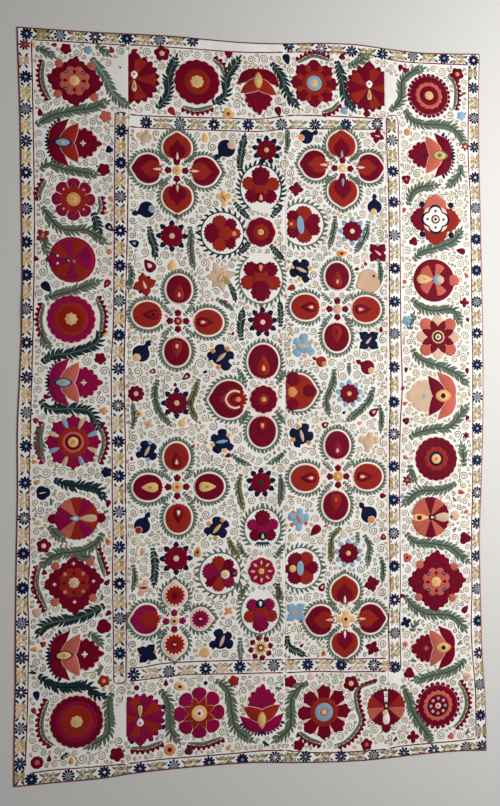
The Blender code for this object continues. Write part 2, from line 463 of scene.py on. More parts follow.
def seed(colour, x, y, heading, length, width, eye=None, layer=1, eye_size=0.5):
    """A drop centred on a point, tip towards the heading, with an eye of another colour if asked."""
    turn = math.radians(heading)
    for hue, scale, level in ((colour, 1.0, layer), (eye, eye_size, layer + 1)):
        if hue:
            start = (x - math.cos(turn) * length * scale / 2, y - math.sin(turn) * length * scale / 2)
            stations = np.linspace(0.006, 0.995, int(np.clip(length * scale / 3, 7, 19)))
            leaf(hue, *start, heading, length * scale, width * scale, layer=level,
                 profile=np.sin(math.pi * stations ** 0.62) ** 0.8, solid=level == 1)


def ring_of(count, reach, turn=0.0):
    """Angles in degrees and offsets of places spread round a circle."""
    for number in range(count):
        angle = turn + 360 * number / count
        yield angle, reach * math.cos(math.radians(angle)), reach * math.sin(math.radians(angle))


def rings(x, y, *bands, start=1):
    """Concentric bands, each (colour, outline), the outer first; a band is open under the next one."""
    around = np.linspace(0, math.tau, 64)
    for number, (colour, outline) in enumerate(bands):
        largest = float(np.max(outline_of(outline)(around)))
        under = outline_of(bands[number + 1][1] if number + 1 < len(bands) else 5)
        covered = float(np.min(under(around))) - 5
        polar(colour, x, y, outline, inner=covered if covered > 9 else 0, layer=start + number,
              steps=int(np.clip(largest * 2.2, 16, 170)))


def dots(colour, x, y, count, reach, size, turn=0.0, layer=1, sides=12):
    for _, across, along in ring_of(count, reach, turn):
        polar(colour, x + across, y + along, size, layer=layer, steps=sides)


# Motifs

def vine(points, colour, midrib=None, leaf_length=31.0, pitch=13.0, leaf_width=11.6, stem=5.6):
    """A leafy stem through points: pairs of slanted leaves that shorten towards both ends."""
    line = smooth(points, 5)
    run = np.concatenate([[0], np.cumsum(np.hypot(*np.diff(line, axis=0).T))])
    total = run[-1]
    taper = np.clip(np.minimum(run, total - run) / 25, 0.35, 1)
    strip(colour, line, stem * taper)
    midrib = midrib or ("teal" if colour in ("green", "olive") else "green")
    strip(midrib, line[1:-1], np.minimum(2.2, stem * taper[1:-1] * 0.6), layer=2, solid=False)
    forward = headings(line)
    count = max(2, int(total / pitch))
    for number in range(count + 1):
        place = total * (number + 0.15) / (count + 0.6)
        x, y = np.interp(place, run, line[:, 0]), np.interp(place, run, line[:, 1])
        ahead = math.degrees(math.atan2(np.interp(place, run, forward[:, 1]),
                                        np.interp(place, run, forward[:, 0])))
        near_end = 0.55 + 0.45 * min(1, min(place, total - place) / 30)
        for side in (-1, 1):
            length = leaf_length * near_end * chance.uniform(0.86, 1.12)
            leaf(colour, x, y, ahead + side * chance.uniform(44, 60), length, leaf_width, curl=-side * 0.16)
    tip = math.degrees(math.atan2(*(line[-1] - line[-2])[::-1]))
    leaf(colour, *line[-1], tip, leaf_length * 0.8, leaf_width * 0.8)


def bud_wreath(points, centre, bud):
    """A leafy stem that hugs a flower, with small three-cornered buds along its outer side."""
    line = smooth(points, 5)
    strip("green", line, np.interp(np.linspace(0, 1, len(line)), (0, 0.25, 0.75, 1), (2.0, 6.0, 6.0, 2.0)))
    strip("olive", line, 1.6, layer=2, solid=False)
    run = np.concatenate([[0], np.cumsum(np.hypot(*np.diff(line, axis=0).T))])
    for place in np.arange(BUD_PITCH * 0.4, run[-1] - BUD_PITCH * 0.2, BUD_PITCH):
        x, y = np.interp(place, run, line[:, 0]), np.interp(place, run, line[:, 1])
        out = math.degrees(math.atan2(y - centre[1], x - centre[0]))
        for lean in (48, -48):
            leaf("green", x, y, out + lean, 12, 6.5)
        polar(bud, *turned(x, y, out, 14.0, 0), petalled(9.5, 3, 0.34, out + chance.uniform(-9, 9), 0.14),
              steps=18)


def leaf_ring(x, y, outline, colour, count, gap=6.0, length=20.0, width=10.4, skip=None, slant=50):
    """A thin stem round an outline, with leaves that slant outwards; skip names an open stretch."""
    low, high = skip if skip else (361, 361)
    span = 360 if skip is None else (low - high) % 360
    first = 0 if skip is None else high
    angles = np.radians(first + np.linspace(0, span, 56))
    reach = outline(angles) + gap
    line = np.stack([x + reach * np.cos(angles), y + reach * np.sin(angles)], axis=1)
    strip(colour, line, 3.0)
    for number in range(count):
        angle = first + span * (number + 0.5) / count
        out = float(outline(np.array([math.radians(angle)]))[0]) + gap
        way = 1 if (angle - first) % 360 < span / 2 else -1
        leaf(colour, x + out * math.cos(math.radians(angle)), y + out * math.sin(math.radians(angle)),
             angle + way * slant, length * chance.uniform(0.85, 1.15), width, curl=-way * 0.1)


def guard_flower(x, y, petal="navy", reach=GUARD_FLOWER_REACH, eye="blue", spokes=None):
    """The small many-petalled flower of the guard borders."""
    turn = chance.uniform(0, 30)
    count = chance.choice((9, 10, 10, 11))
    polar(petal, x, y, reach * 0.42, steps=12)
    for angle, across, along in ring_of(count, reach * 0.3, turn):
        leaf(petal, x + across, y + along, angle, reach * 0.74, reach * 0.44,
             profile=np.array([0.6, 0.8, 0.95, 1.0, 0.85, 0.4]))
    polar(eye, x, y, pointed(reach * 0.3, count, 0.5, turn), layer=3, steps=count * 2)
    for angle, across, along in ring_of(spokes or 0, reach * 0.2, turn + 16):
        leaf("white", x + across, y + along, angle, reach * 0.7, 1.8, layer=2, solid=False)


def scroll(x, y, reach, heading, turns, colour, half_width=SPIRAL_THREAD, side=1, tail=0.0):
    """A coiled tendril: it starts on its rim and winds in to its middle."""
    sweep = turns * math.tau
    share = np.linspace(0, 1, int(9 * turns) + 4) ** 1.3
    angle = math.radians(heading) - side * sweep * share
    distance = reach * (1 - 0.86 * share ** 0.85)
    line = np.stack([x + distance * np.cos(angle), y + distance * np.sin(angle)], axis=1)
    if tail:
        start = math.radians(heading)
        way = np.array([-math.sin(start), math.cos(start)]) * side
        out = np.array([math.cos(start), math.sin(start)])
        extra = [line[0] + way * tail * s + out * tail * 0.35 * s * s for s in (1.0, 0.5)]
        line = np.vstack([extra, line])
    strip(colour, line, np.full(len(line), half_width), rise=0.5, solid=False)


def tangle(x, y, along_x, light, flecks, span=42.0):
    """The knot of loops between two guard flowers, with slanting dark flecks at both ends."""
    def spot(place, side):
        return (x + place, y + side) if along_x else (x + side, y + place)
    for row in range(4):
        for column in (-1, 1):
            place = (row - 1.5) * span / 3.6 + column * 2.0
            hue = light if (row + column) % 3 else "beige" if row % 2 else "tan"
            scroll(*spot(place, column * 8.4), chance.uniform(6.4, 8.2), chance.uniform(0, 360), 1.25, hue,
                   2.3,
                   side=column)
    for number in range(7):
        place = (number - 3) * span / 6.4
        side = chance.uniform(-4, 4) + (7, -7, 0)[number % 3]
        seed(("tan", light, "beige")[number % 3], *spot(place, side), chance.uniform(0, 360), 16, 8)
    for number in range(5):
        place = (number - 2) * span / 4.2
        leaf("tan", *spot(place - 5, 15.5 if number % 2 else -15.5), 0 if along_x else 90, 12, 4)
    for end in (-1, 1):
        for side in (-1, 1):
            heading = (90 if along_x else 0) - side * end * 50 * (1 if along_x else -1)
            size = 1.0 if flecks else 0.55
            seed(flecks or "olive", *spot(end * (span / 2 + 7.5), side * 10.5), heading, 18 * size,
                 8.5 * size)


def petal_heart(x, y, heading, outer, inner, eye, reach, flame=True):
    """One petal of a group of four: pale rim, heart, flame or drop, pale eye, and a wreath of leaves."""
    shape = heart(reach, heading) if flame else oval(reach * 1.07, reach * 0.93, heading)
    rim = heart(reach + 2.6, heading) if flame else oval(reach * 1.07 + 2.6, reach * 0.93 + 2.6, heading)
    polar("blush", x, y, rim, steps=72, inner=reach * 0.62)
    base = heading + 180
    shape = spiked(shape, base, 34, 0.14 if flame else 0.07)
    polar(outer, x, y, shape, layer=2, steps=96, lay=heading)
    if inner and flame:
        core = fringed(heart(reach * 0.66, heading, tip=0.4, notch=-0.2), 19, 0.2)
        polar(inner, *turned(x, y, base, reach * 0.26, 0), core, layer=3, steps=76, lay=heading + 60)
    elif inner == "gold":
        seed(inner, *turned(x, y, base, reach * 0.1, 0), heading, reach * 1.25, reach * 0.72, "tan",
             layer=3, eye_size=0.3)
    elif inner:
        seed(inner, *turned(x, y, base, reach * 0.2, 0), heading, reach * 1.25, reach * 0.78, layer=3)
        seed("scarlet" if inner != "scarlet" else "crimson", *turned(x, y, base, reach * 0.32, 0), heading,
             reach * 0.74,
             reach * 0.48, layer=4)
    if eye and flame:
        seed(eye, *turned(x, y, base, reach * 0.6, 0), heading, reach * 0.58, reach * 0.2, layer=5)
    elif eye:
        seed(eye, *turned(x, y, base, reach * 0.36, 0), heading, reach * 0.42, reach * 0.25, layer=5)
    leaf_ring(x, y, rim, "green", 26, skip=(base - 30, base + 30))


def spiked(outline, turn, width, depth):
    """An outline with sharp points along one side of it."""
    def spikes(angle):
        away = np.abs(np.angle(np.exp(1j * (angle - math.radians(turn)))))
        near = np.clip(1.4 - away / math.radians(width), 0, 1)
        return outline(angle) * (1 - depth * near * np.abs(np.sin(angle * 13)))
    return spikes


def small_rosette(x, y, reach, petal, bead, centre, beads):
    """A scalloped rosette with dark or pale beads tucked round its rim."""
    for angle, across, along in ring_of(beads, reach + 6.0, 90):
        polar(bead, x + across, y + along, petalled(11.0, 3, 0.26, angle), steps=24)
    rings(x, y, (petal, scalloped(reach + 1.5, 11, 0.13)), (centre, petalled(reach * 0.27, 6, 0.16)),
          start=2)


def eye_shape(x, y, heading, length, width, rim, fill, pupil=None, layer=2):
    """A lens of one colour inside another, with a round pupil if asked."""
    turn = math.radians(heading)
    profile = np.sin(np.linspace(0.08, math.pi - 0.08, 11)) ** 0.8
    for hue, scale, level in ((rim, 1.0, layer), (fill, 0.8, layer + 1)):
        half = length * scale / 2
        line = np.stack([x + np.linspace(-half, half, 11) * math.cos(turn),
                         y + np.linspace(-half, half, 11) * math.sin(turn)], axis=1)
        strip(hue, line, profile * width * scale / 2, level, solid=False)
    if pupil:
        polar(pupil, x, y, width * 0.22, layer=layer + 2, steps=14)


def turned(x, y, heading, forward, sideways):
    """A place given by its distance forward and to the left of a heading."""
    turn = math.radians(heading)
    return (x + forward * math.cos(turn) - sideways * math.sin(turn),
            y + forward * math.sin(turn) + sideways * math.cos(turn))


def palmette(x, y, heading, claw="crimson", wing="salmon", bud="crimson", eye=("blue", "beige", "orange"),
             spikes="navy", star="blush", size=1.0, bud_at=40, bud_reach=50, eye_size=(66, 33)):
    """The carnation of the border: outer claws, two wings, a scalloped bud with a tip, and an eye."""
    lobes = ((claw, ((-50, 4), (-48, 26), (-39, 48), (-22, 66), (-7, 82)), (24, 25, 22, 12, 1.0), 1),
             (wing, ((-16, 2), (-6, 22), (4, 38), (14, 52), (24, 68)), (24, 25, 21, 13, 1.0), 3))
    polar(claw, *turned(x, y, heading, -52 * size, 0), 21 * size, steps=30)
    for side in (1, -1):
        for hue, places, widths, layer in lobes:
            line = smooth([turned(x, y, heading, f * size, s * side * size) for f, s in places], 5)
            width = np.interp(np.linspace(0, 1, len(line)), np.linspace(0, 1, 5), widths) * size
            strip("blush", line, width + 1.6, layer=layer, solid=False)
            strip(hue, line, width, layer=layer + 1)
    bud_x, bud_y = turned(x, y, heading, bud_at * size, 0)
    rim = heart(bud_reach * size, heading, tip=0.34, notch=0.05, wide=1.12)
    shape = fringed(rim, 13, 0.15)
    polar("blush", bud_x, bud_y, rim, layer=1, steps=80, inner=bud_reach * 0.6)
    polar(bud, bud_x, bud_y, shape, layer=2, steps=104, lay=heading)
    take_outline(bud_x, bud_y, rim, 72 * size)
    if star:
        star_x, star_y = turned(x, y, heading, 40 * size, 0)
        polar(star, star_x, star_y, pointed(12 * size, 4, 0.6, heading), layer=3, steps=24)
    if spikes:
        for number in range(-7, 8):
            share = number / 7
            base = turned(x, y, heading, (-67 + 30 * share * share) * size, 66 * share * size)
            leaf(spikes, *base, heading + 180 - share * 68, 24 * size, 12.5 * size)
    centre = turned(x, y, heading, -27 * size, 0)
    eye_shape(*centre, heading, eye_size[0] * size, eye_size[1] * size, *eye, layer=5)


def split_wheel(x, y, heading, reach, colours, spread=86.0, shift=9.0):
    """Two half wheels that part to both sides of a heading, as on the pinwheel flowers."""
    for side in (1, -1):
        centre = turned(x, y, heading, 0, side * shift)
        middle = heading + side * 90
        rim = fringed(even(reach), 26, 0.05)
        polar(colours[0], *centre, rim, middle - spread, middle + spread, steps=60)
        for number, colour in enumerate(colours[::side]):
            ends = [middle - spread + 2 * spread * (number + step) / len(colours) for step in (0, 1)]
            polar(colour, *centre, rim, *ends, layer=2, steps=14, inner=1.0)
        take_disc(*turned(x, y, heading, 0, side * reach * 0.5), reach * 0.62)


def heart_wedge(reach, middle, width, fall=0.05, tip=0.0):
    """The rounded end of one wedge of a wheel, or of one petal; it may come to a tip."""
    def outline(angle):
        away = np.abs(np.angle(np.exp(1j * (angle - math.radians(middle))))) / math.radians(width / 2)
        return reach * (1 - fall * np.clip(away, 0, 1) ** 2.6 + tip * np.clip(1 - away / 0.3, 0, 1) ** 1.5)
    return outline


def wedge_petals(x, y, lobes, layer=2, scallops=0.0, inner=6.0, fall=0.17):
    """Broad petals side by side: each has a heading, half its angle, its reach, a tip and a colour."""
    for heading, half, reach, tip, colour in lobes:
        outline = heart_wedge(reach, heading, 2 * half, fall, tip)
        if scallops:
            outline = fringed(outline, int(2200 / reach), scallops)
        polar(colour, x, y, outline, heading - half, heading + half, inner, layer,
              steps=int(half * 1.1) + 8, lay=heading)
        for share in (0.4, 0.75):
            take_disc(*turned(x, y, heading, reach * share, 0), reach * 0.24)


def shape_flower(x, y, reach, colour, count, depth, turn, eye, eye_reach, kind=scalloped):
    """A small lobed or pointed flower or leaf, with a round eye or a slit if asked."""
    polar(colour, x, y, kind(reach, count, depth, turn), steps=max(20, count * 8))
    if eye:
        polar(eye, x, y, reach * eye_reach, layer=2, steps=12)


def slit(x, y, heading, length, colour, width):
    leaf(colour, *turned(x, y, heading, -length / 2, 0), heading, length, width, layer=2, solid=False)


def winged(x, y, heading, size, colour, almond, bead):
    """A bird-like shape: a diamond body, notched wings, head and tail, an almond and small beads."""
    polar(colour, x, y, oval(size * 0.66, size * 0.54, heading), steps=40)
    limbs = ((0, 1.0, 0.62), (78, 1.02, 0.78), (-72, 0.98, 0.76), (172, 1.06, 0.60))
    for angle, length, width in limbs:
        reach = size * length * chance.uniform(0.92, 1.08)
        way = heading + angle + chance.uniform(-9, 9)
        leaf(colour, x, y, way, reach, size * width, chance.uniform(-0.22, 0.22),
             profile=np.array([0.9, 0.8, 0.72, 0.86, 1.0, 0.8, 0.2]))
        for lean in (34, -30):
            leaf(colour, *turned(x, y, way, reach * 0.5, 0), way + lean, reach * 0.52, size * width * 0.42)
    if almond:
        eye_shape(x, y, heading + 28, size * 0.95, size * 0.27, almond, almond, layer=3)
    if bead:
        for angle in (128, -120, 38):
            polar(bead, *turned(x, y, heading + angle, size * 0.72, 0), scalloped(size * 0.21, 4, 0.2),
                  steps=20)


def ewer(x, y, heading, size, colour, bead):
    """A round-bodied bird or jug: a drop-shaped body, a neck with a crest, and a pale spot at its foot."""
    polar(colour, x, y, heart(size * 0.92, heading, tip=0.3, notch=0.05), steps=56)
    neck = smooth([turned(x, y, heading, f * size, s * size) for f,
                   s in ((0.5, 0), (1.0, 0.06), (1.35, 0.02))], 4)
    strip(colour, neck, size * 0.22)
    polar(colour, *turned(x, y, heading, 1.38 * size, 0), petalled(size * 0.36, 3, 0.3, heading), steps=30)
    if bead:
        foot = turned(x, y, heading, -0.62 * size, 0.12 * size)
        polar("blush", *foot, scalloped(size * 0.46, 6, 0.1, heading), layer=2, steps=30)
        polar(bead, *foot, scalloped(size * 0.4, 6, 0.1, heading), layer=3, steps=30)


def medallion_ring(x, y, reach, colour, count, skip=None, wide=1.0):
    """A stem with leaves right round a medallion, which may be narrower than it is long."""
    leaf_ring(x, y, oval(reach, reach * wide, 90), colour, count, gap=0, length=25, width=10.0, skip=skip,
              slant=46)
    take_outline(x, y, oval(reach, reach * wide, 90), reach + 2)


# Guard borders

# The dark red lines beside the guard borders, as places in millimetres
GUARD_LINES = rows("""points
-788,-1212 -782,-1050 -779,-900 -777,-780 -781,-650 -776,-520 -778,-300 -774,-100 -772,0 -767,200 -765,300
    -763,500 -763,650 -766,850 -769,1000 -773,1180 -775,1222; -775,1223 -700,1224 -600,1224 -454,1224;
-448,1225 -400,1227 -250,1226 -100,1224 0,1227 93,1233;
100,1234 150,1238 250,1245 330,1248 400,1246 459,1235; 466,1233 540,1226 620,1226 783,1229;
783,1229 780,1100 777,1000 777,850 783,700 783,300 784,150 782,0 780,-200 778,-290 772,-450 771,-560
    770,-700 766,-800 768,-900 775,-1000 779,-1100 779,-1219; -771,-1237 -700,-1232 -600,-1231 -459,-1228;
-453,-1227 -350,-1221 -250,-1219 -100,-1217 0,-1214 80,-1217;
86,-1218 150,-1228 250,-1237 350,-1238 448,-1237; 455,-1236 500,-1230 600,-1227 700,-1225 780,-1221;
-452,984 -480,988 -493,980 -495,960 -497,700 -500,300 -508,100 -505,-200 -505,-320 -502,-450 -504,-600
    -502,-750 -500,-900 -500,-945 -492,-956 -470,-956 -460,-948 -459,-900 -458,-780 -459,-600 -458,-480
    -461,-300 -460,-200 -465,100 -460,300 -452,700 -451,940;
-448,982 -400,981 -250,983 -100,987 0,989 92,1002; 97,1003 150,1010 250,1013 350,1013 459,1012;
-449,939 -350,939 -250,940 -100,943 0,945 90,956; 95,957 150,963 300,968 400,972 459,973;
468,1021 468,900 472,700 472,250 475,50 468,-100 467,-250 465,-350 464,-500 463,-700 457,-790 459,-900
    459,-955 468,-966 490,-966 500,-955 501,-900 499,-790 502,-700 503,-550 503,-400 503,-280 508,-100
    517,50 514,250 514,700 511,900 508,1019 468,1021;
-452,-907 -400,-907 -340,-899 -250,-897 -100,-900 80,-905; 86,-906 200,-909 300,-915 449,-918;
-451,-951 -400,-949 -300,-942 -250,-940 -100,-945 80,-950; 86,-951 200,-952 300,-959 449,-964""")

# The guard flowers: where each row's flowers lie along it, and across it at shares of its length
GUARD_FLOWERS = rows("""way light flecks across places
y gold teal -805,-798,-786,-789,-793 -1205 -1089 -971 -857 -743 -627 -513 -396 -278 -155 -43 75 192 306 420
    532 645 768 875 985 1095;
x tan teal 1243,1248,1262,1250,1247 -790 -680 -563 -455 -343 -229 112 230 341 455 570 688 801;
y tan - 797,790,800,803,800 -1139 -1028 -916 -801 -686 -568 -450 -339 -222 -107 7 125 240 355 470 585 700
    812 925 1032 1145;
x olive green -1258,-1246,-1238,-1257,-1249 -768 -649 -531 -413 -300 -180 -66 48 155 281 400 510 620 740
    802;
y gold teal -480,-482,-486,-479,-474 -856 -739 -622 -500 -381 -260 -143 -20 105 220 338 458 578 695 812 922;
y tan - 481,480,486,494,489 -951 -831 -713 -594 -478 -360 -240 -125 -10 115 235 350 470 590 710 822 935;
x tan green 958,963,976,992 -390 -273 -155 -35 83 205 318 433;
x beige green -930,-922,-925,-940 -433 -315 -191 -73 45 165 285 403""")

BARE_STRETCH = (-205, 96)
GUARD_LINE_STEP = 9


def guard_borders():
    """Lines, flowers and tangles; the stretch that was never worked stays bare."""
    for line in GUARD_LINES:
        strip("crimson", smooth(line["points"], GUARD_LINE_STEP), 2.6, rise=0.5)
    for row in GUARD_FLOWERS:
        places = row["places"]
        shares = (np.array(places) - min(places)) / (max(places) - min(places))
        across = np.interp(shares, np.linspace(0, 1, len(row["across"])), row["across"])
        order = sorted(zip(places, across))
        along_x = row["way"] == "x"
        for number, (place, side) in enumerate(order):
            spot = (place, side) if along_x else (side, place)
            guard_flower(*spot, eye="white" if number % 5 == 2 else "blue",
                         spokes=11 if number % 3 == 1 else None)
        for (place, side), (after, after_side) in zip(order, order[1:]):
            middle, middle_side = (place + after) / 2, (side + after_side) / 2
            on_top = along_x and side > 1200
            if on_top and BARE_STRETCH[0] < middle < BARE_STRETCH[1]:
                continue
            spot = (middle, middle_side) if along_x else (middle_side, middle)
            tangle(*spot, along_x, row["light"], row["flecks"])
    guard_flower(-797, 1205, "crimson", 20.0, "salmon")
    for x, y, along_x, light in ((-800, 1150, False, "beige"), (798, 1200, False, "tan"),
                                 (-740, 1246, True, "tan"),
                                 (-474, 962, False, "beige"), (487, 988, False, "tan"),
                                 (-483, -910, False, "beige"),
                                 (-805, -1248, False, "tan"), (800, -1195, False, "tan"),
                                 (446, -945, True, "beige")):
        tangle(x, y, along_x, light, "teal", 26.0)
    block_guards()


def block_guards():
    """No tendrils go into the guard borders or over the seams' bare cloth."""
    for line in GUARD_LINES:
        for x, y in smooth(line["points"], GUARD_LINE_STEP):
            take_disc(x, y, 4)
    busy[:, np.abs(GRID_X) > 775] = True
    busy[np.abs(GRID_Y) > 1226, :] = True
    for row in GUARD_FLOWERS[4:]:
        places = np.arange(min(row["places"]) - 30, max(row["places"]) + 30, 6)
        across = np.interp(np.linspace(0, 1, len(places)), np.linspace(0, 1, len(row["across"])),
                           row["across"])
        for place, side in zip(places, across):
            take_disc(*((place, side) if row["way"] == "x" else (side, place)), 23)


# The middle field. Places are in millimetres from the middle of the cloth, headings in degrees.

# One petal: x, y, heading, reach, outer colour, flame colour, eye colour
PETALS = rows("""x y heading reach outer inner eye
-283 874 90 48 rust crimson blush; -383 797 180 50 crimson rust blush; -191 795 0 50 crimson rust blush;
-283 702 270 50 rust crimson beige; 302 908 90 50 rust crimson blue; 204 836 180 50 crimson rust blush;
402 832 0 48 crimson rust blush; 305 744 270 52 rust crimson blue; -278 380 90 47 crimson rust beige;
-385 292 180 48 rust crimson navy; -178 268 0 48 rust crimson blush; -286 166 270 47 crimson rust blush;
282 437 90 47 crimson rust beige; 167 326 180 49 rust crimson blush; 385 321 0 50 rust crimson beige;
278 222 270 49 crimson rust crimson; -288 -198 90 46 rust crimson blush; -384 -300 180 48 crimson gold -;
-177 -301 0 49 crimson gold -; -282 -406 270 48 rust crimson white; 277 -163 90 48 crimson magenta beige;
162 -277 180 50 rust crimson blush; 386 -275 0 50 rust crimson blush; 270 -374 270 50 crimson rust salmon;
-391 -747 180 49 magenta rust -; 300 -676 90 48 rust crimson white; 213 -775 180 50 crimson rust beige;
392 -776 0 50 crimson rust beige; 299 -857 270 47 rust crimson white; 15 131 90 58 crimson rust gold;
10 -111 270 52 crimson crimson gold""")

# The middle of each group of four: x, y, disc colour, disc reach, centre colour, lobe colour, lobe distance
MIDDLES = rows("""x y disc reach centre lobe away
-285 795 gold 17 orange crimson 30; 304 826 gold 16 blush crimson 29; -282 271 rust 16 orange crimson 28;
281 321 beige 18 gold crimson 29; -286 -300 gold 21 salmon crimson 31; 279 -273 orange 19 gold crimson 30;
-297 -757 gold 16 navy magenta 28; 303 -775 gold 20 crimson gold 21""")

# Small beaded rosettes: x, y, reach, petal, bead and centre colours, beads
ROSETTES = rows("""x y reach petal bead centre beads
30 880 36 crimson navy gold 9; 13 271 37 crimson navy blush 9; 4 -290 36 crimson navy teal 9;
-302 566 39 crimson navy beige 8; 338 601 36 crimson blue blush 8; -287 -12 38 crimson navy beige 8;
322 20 34 crimson blue gold 9; -290 -544 41 crimson navy blush 8; 314 -544 36 crimson blue gold 9""")

# Leafy stems of the field: leaf colour, midrib colour, leaf length, points
FIELD_STEMS = rows("""colour midrib leaf_length points
teal - 15 -380,598 -374,560 -362,528 -360,495; green plum 14 -240,602 -236,560 -238,515 -228,462;
teal - 15 -66,800 -62,850 -48,925; green - 12 98,870 104,905 104,950; green - 13 275,655 272,610 255,545;
green - 14 398,640 385,585 352,532; teal - 16 -62,205 -66,250 -58,308; teal - 13 75,255 77,300 74,338;
green - 15 -352,70 -362,20 -350,-35 -314,-82; olive plum 14 -212,72 -228,20 -240,-20 -222,-68;
green - 15 268,108 262,50 238,0 246,-50; green - 16 412,45 396,0 362,-40 318,-72; green - 11 322,130 322,96;
olive teal 14 -66,-258 -76,-310 -60,-378; green - 14 71,-262 76,-310 70,-360;
olive - 14 288,-453 255,-486 252,-526 250,-566; green - 14 371,-481 392,-522 383,-588;
teal - 15 -370,-505 -362,-560 -366,-628; green - 12 348,-470 348,-505; plum - 12 62,-640 62,-690;
green blue 13 -72,-822 -70,-892; teal - 15 92,-822 100,-862 150,-892;
olive plum 13 -112,-476 -98,-512 -78,-542; green - 13 -62,-650 -88,-640; teal - 13 -86,690 -60,662 -38,640;
teal - 14 -72,505 -50,530 -34,548; teal - 14 46,640 62,662 78,676; teal - 14 42,545 60,522 84,498;
green - 13 -44,58 -62,82 -72,100; green - 13 60,54 76,72 88,92; green - 13 -34,-42 -54,-62 -64,-80;
green - 13 56,-40 72,-60 84,-78; green - 13 -40,-548 -62,-530 -76,-500; green - 13 48,-552 66,-534 80,-512;
green - 13 -40,-640 -62,-665 -74,-690; green - 12 46,-640 64,-664 74,-690;
green - 13 -448,470 -440,430 -448,380; teal - 12 -108,412 -92,380 -84,350;
green - 12 432,500 440,460 438,420; green - 12 430,-20 440,-60 436,-110;
green - 12 -440,-100 -430,-60 -436,-20; green - 12 92,-180 60,-212 34,-222;
green - 12 -100,-190 -70,-214 -40,-226; green - 12 -436,-560 -428,-600 -436,-640;
green - 12 430,-560 440,-600 436,-640; green - 12 -150,350 -120,335 -96,316""")

# Birds, jugs and butterflies: kind, x, y, heading, size, body colour, almond colour, bead colour
CREATURES = rows("""kind x y heading size colour almond bead
ewer -112 880 225 34 navy - beige; ewer 172 934 25 28 navy - orange; ewer -388 655 200 31 navy - blue;
ewer 420 690 90 28 navy - gold; winged -133 147 15 50 navy beige orange; ewer -408 158 55 32 navy - gold;
winged 152 458 130 46 navy beige gold; moth 395 210 0 38 navy beige -;
winged -132 -146 160 46 navy blue gold; winged -388 -176 35 42 navy beige blue;
winged 150 -128 75 48 navy beige orange; ewer -405 -430 62 30 navy - rust;
winged -150 -446 20 46 navy gold orange; ewer 390 -410 128 32 navy - orange;
moth -389 -862 10 33 navy - orange; winged -134 -832 40 46 navy beige -;
winged 158 188 150 47 blue beige beige; winged 136 -420 90 42 blue salmon salmon;
moth 124 -743 0 36 blue orange -; winged 390 -152 80 40 beige - -; winged -400 -640 150 30 beige crimson -;
winged -395 905 80 30 beige - blush; winged -123 705 100 30 gold salmon -;
winged -113 -731 45 17 orange - -; ewer -194 -868 200 20 gold - -; moth -396 395 60 36 rust blush navy;
moth 430 525 90 35 crimson blush blue; moth 398 -654 60 26 crimson - navy;
moth 398 -880 20 24 crimson navy -; moth 135 745 40 24 crimson - green; moth 432 948 120 24 crimson blush -;
moth -383 -84 20 17 beige rust -; ewer 222 133 155 21 rust - orange; ewer 390 114 150 28 crimson - gold;
ewer -270 -82 60 15 gold - -""")

# Seeds and buds: x, y, heading, length, width, colour, eye colour
FIELD_SEEDS = rows("""x y heading length width colour eye
-380 462 130 52 40 crimson blush; -432 537 160 38 27 navy blue; -302 465 80 42 32 gold -;
300 520 10 44 26 orange crimson; 115 393 200 33 24 rust -; 352 465 200 22 14 crimson -;
385 486 120 20 14 rust -; -370 97 190 26 19 crimson blush; -255 78 220 36 22 crimson beige;
-190 95 200 20 12 navy -; 235 -90 30 30 24 crimson blush; 228 -52 10 18 12 beige -; 303 -47 40 16 12 navy -;
360 -85 20 22 14 orange -; 412 -45 40 42 28 crimson beige; -112 -195 200 26 17 crimson -;
-217 -524 80 40 28 orange crimson; 195 -462 225 50 32 crimson -; 233 -446 200 20 12 salmon -;
269 -594 30 22 15 beige -; 219 -659 60 34 26 crimson blush; 145 -859 40 20 12 crimson -;
222 -889 90 26 20 orange crimson; 442 -344 0 26 20 crimson -; 441 -489 90 25 24 crimson salmon;
-187 915 100 36 26 gold -; -287 634 270 22 14 crimson -; -118 338 250 18 13 rust -;
-292 52 90 16 14 crimson -; -92 230 60 16 12 crimson -; -197 -93 30 26 15 gold -;
-418 -50 200 30 22 gold rust; -404 -520 250 34 20 beige orange; -230 -160 60 18 12 rust -;
70 700 30 14 10 orange -; 62 540 60 13 9 gold -; 52 -186 90 14 10 rust -; -60 20 0 18 12 beige -;
440 250 90 24 15 crimson -; -440 250 90 20 13 orange -; 66 400 200 16 10 crimson -; 90 60 60 14 10 gold -;
-440 -200 90 18 12 rust -""")


def middle_flower(x, y, disc, reach, centre, lobe, away):
    """The small flower between four petals, with a leafy sprig on each diagonal."""
    for angle, across, along in ring_of(4, away):
        polar(lobe, x + across, y + along, scalloped(13.5, 5, 0.2, angle), steps=30)
        polar("green", x + across * 0.64, y + along * 0.64, 2.8, steps=10)
    rings(x, y, (disc, scalloped(reach, 8, 0.13)), (centre, reach * 0.36))
    for angle, across, along in ring_of(4, 34.0, 45):
        vine([(x + across * 0.8, y + along * 0.8), (x + across * 2.1, y + along * 2.1)], "green",
             leaf_length=20, pitch=9.0, leaf_width=7.6, stem=2.6)


def spiky_petal(x, y, heading, reach, petal, core, eye):
    """The smaller petals with rays, in the corner group that differs."""
    shape = heart(reach + 5, heading, tip=0.3, notch=0)
    rings(x, y, ("blush", shape), (petal, pointed(reach, 15, 0.24)),
          (core, scalloped(reach * 0.4, 7, 0.15)))
    polar(eye, x, y, oval(reach * 0.2, reach * 0.12), layer=4, steps=14)
    leaf_ring(x, y, shape, "green", 18, gap=5, skip=(heading + 150, heading + 210))


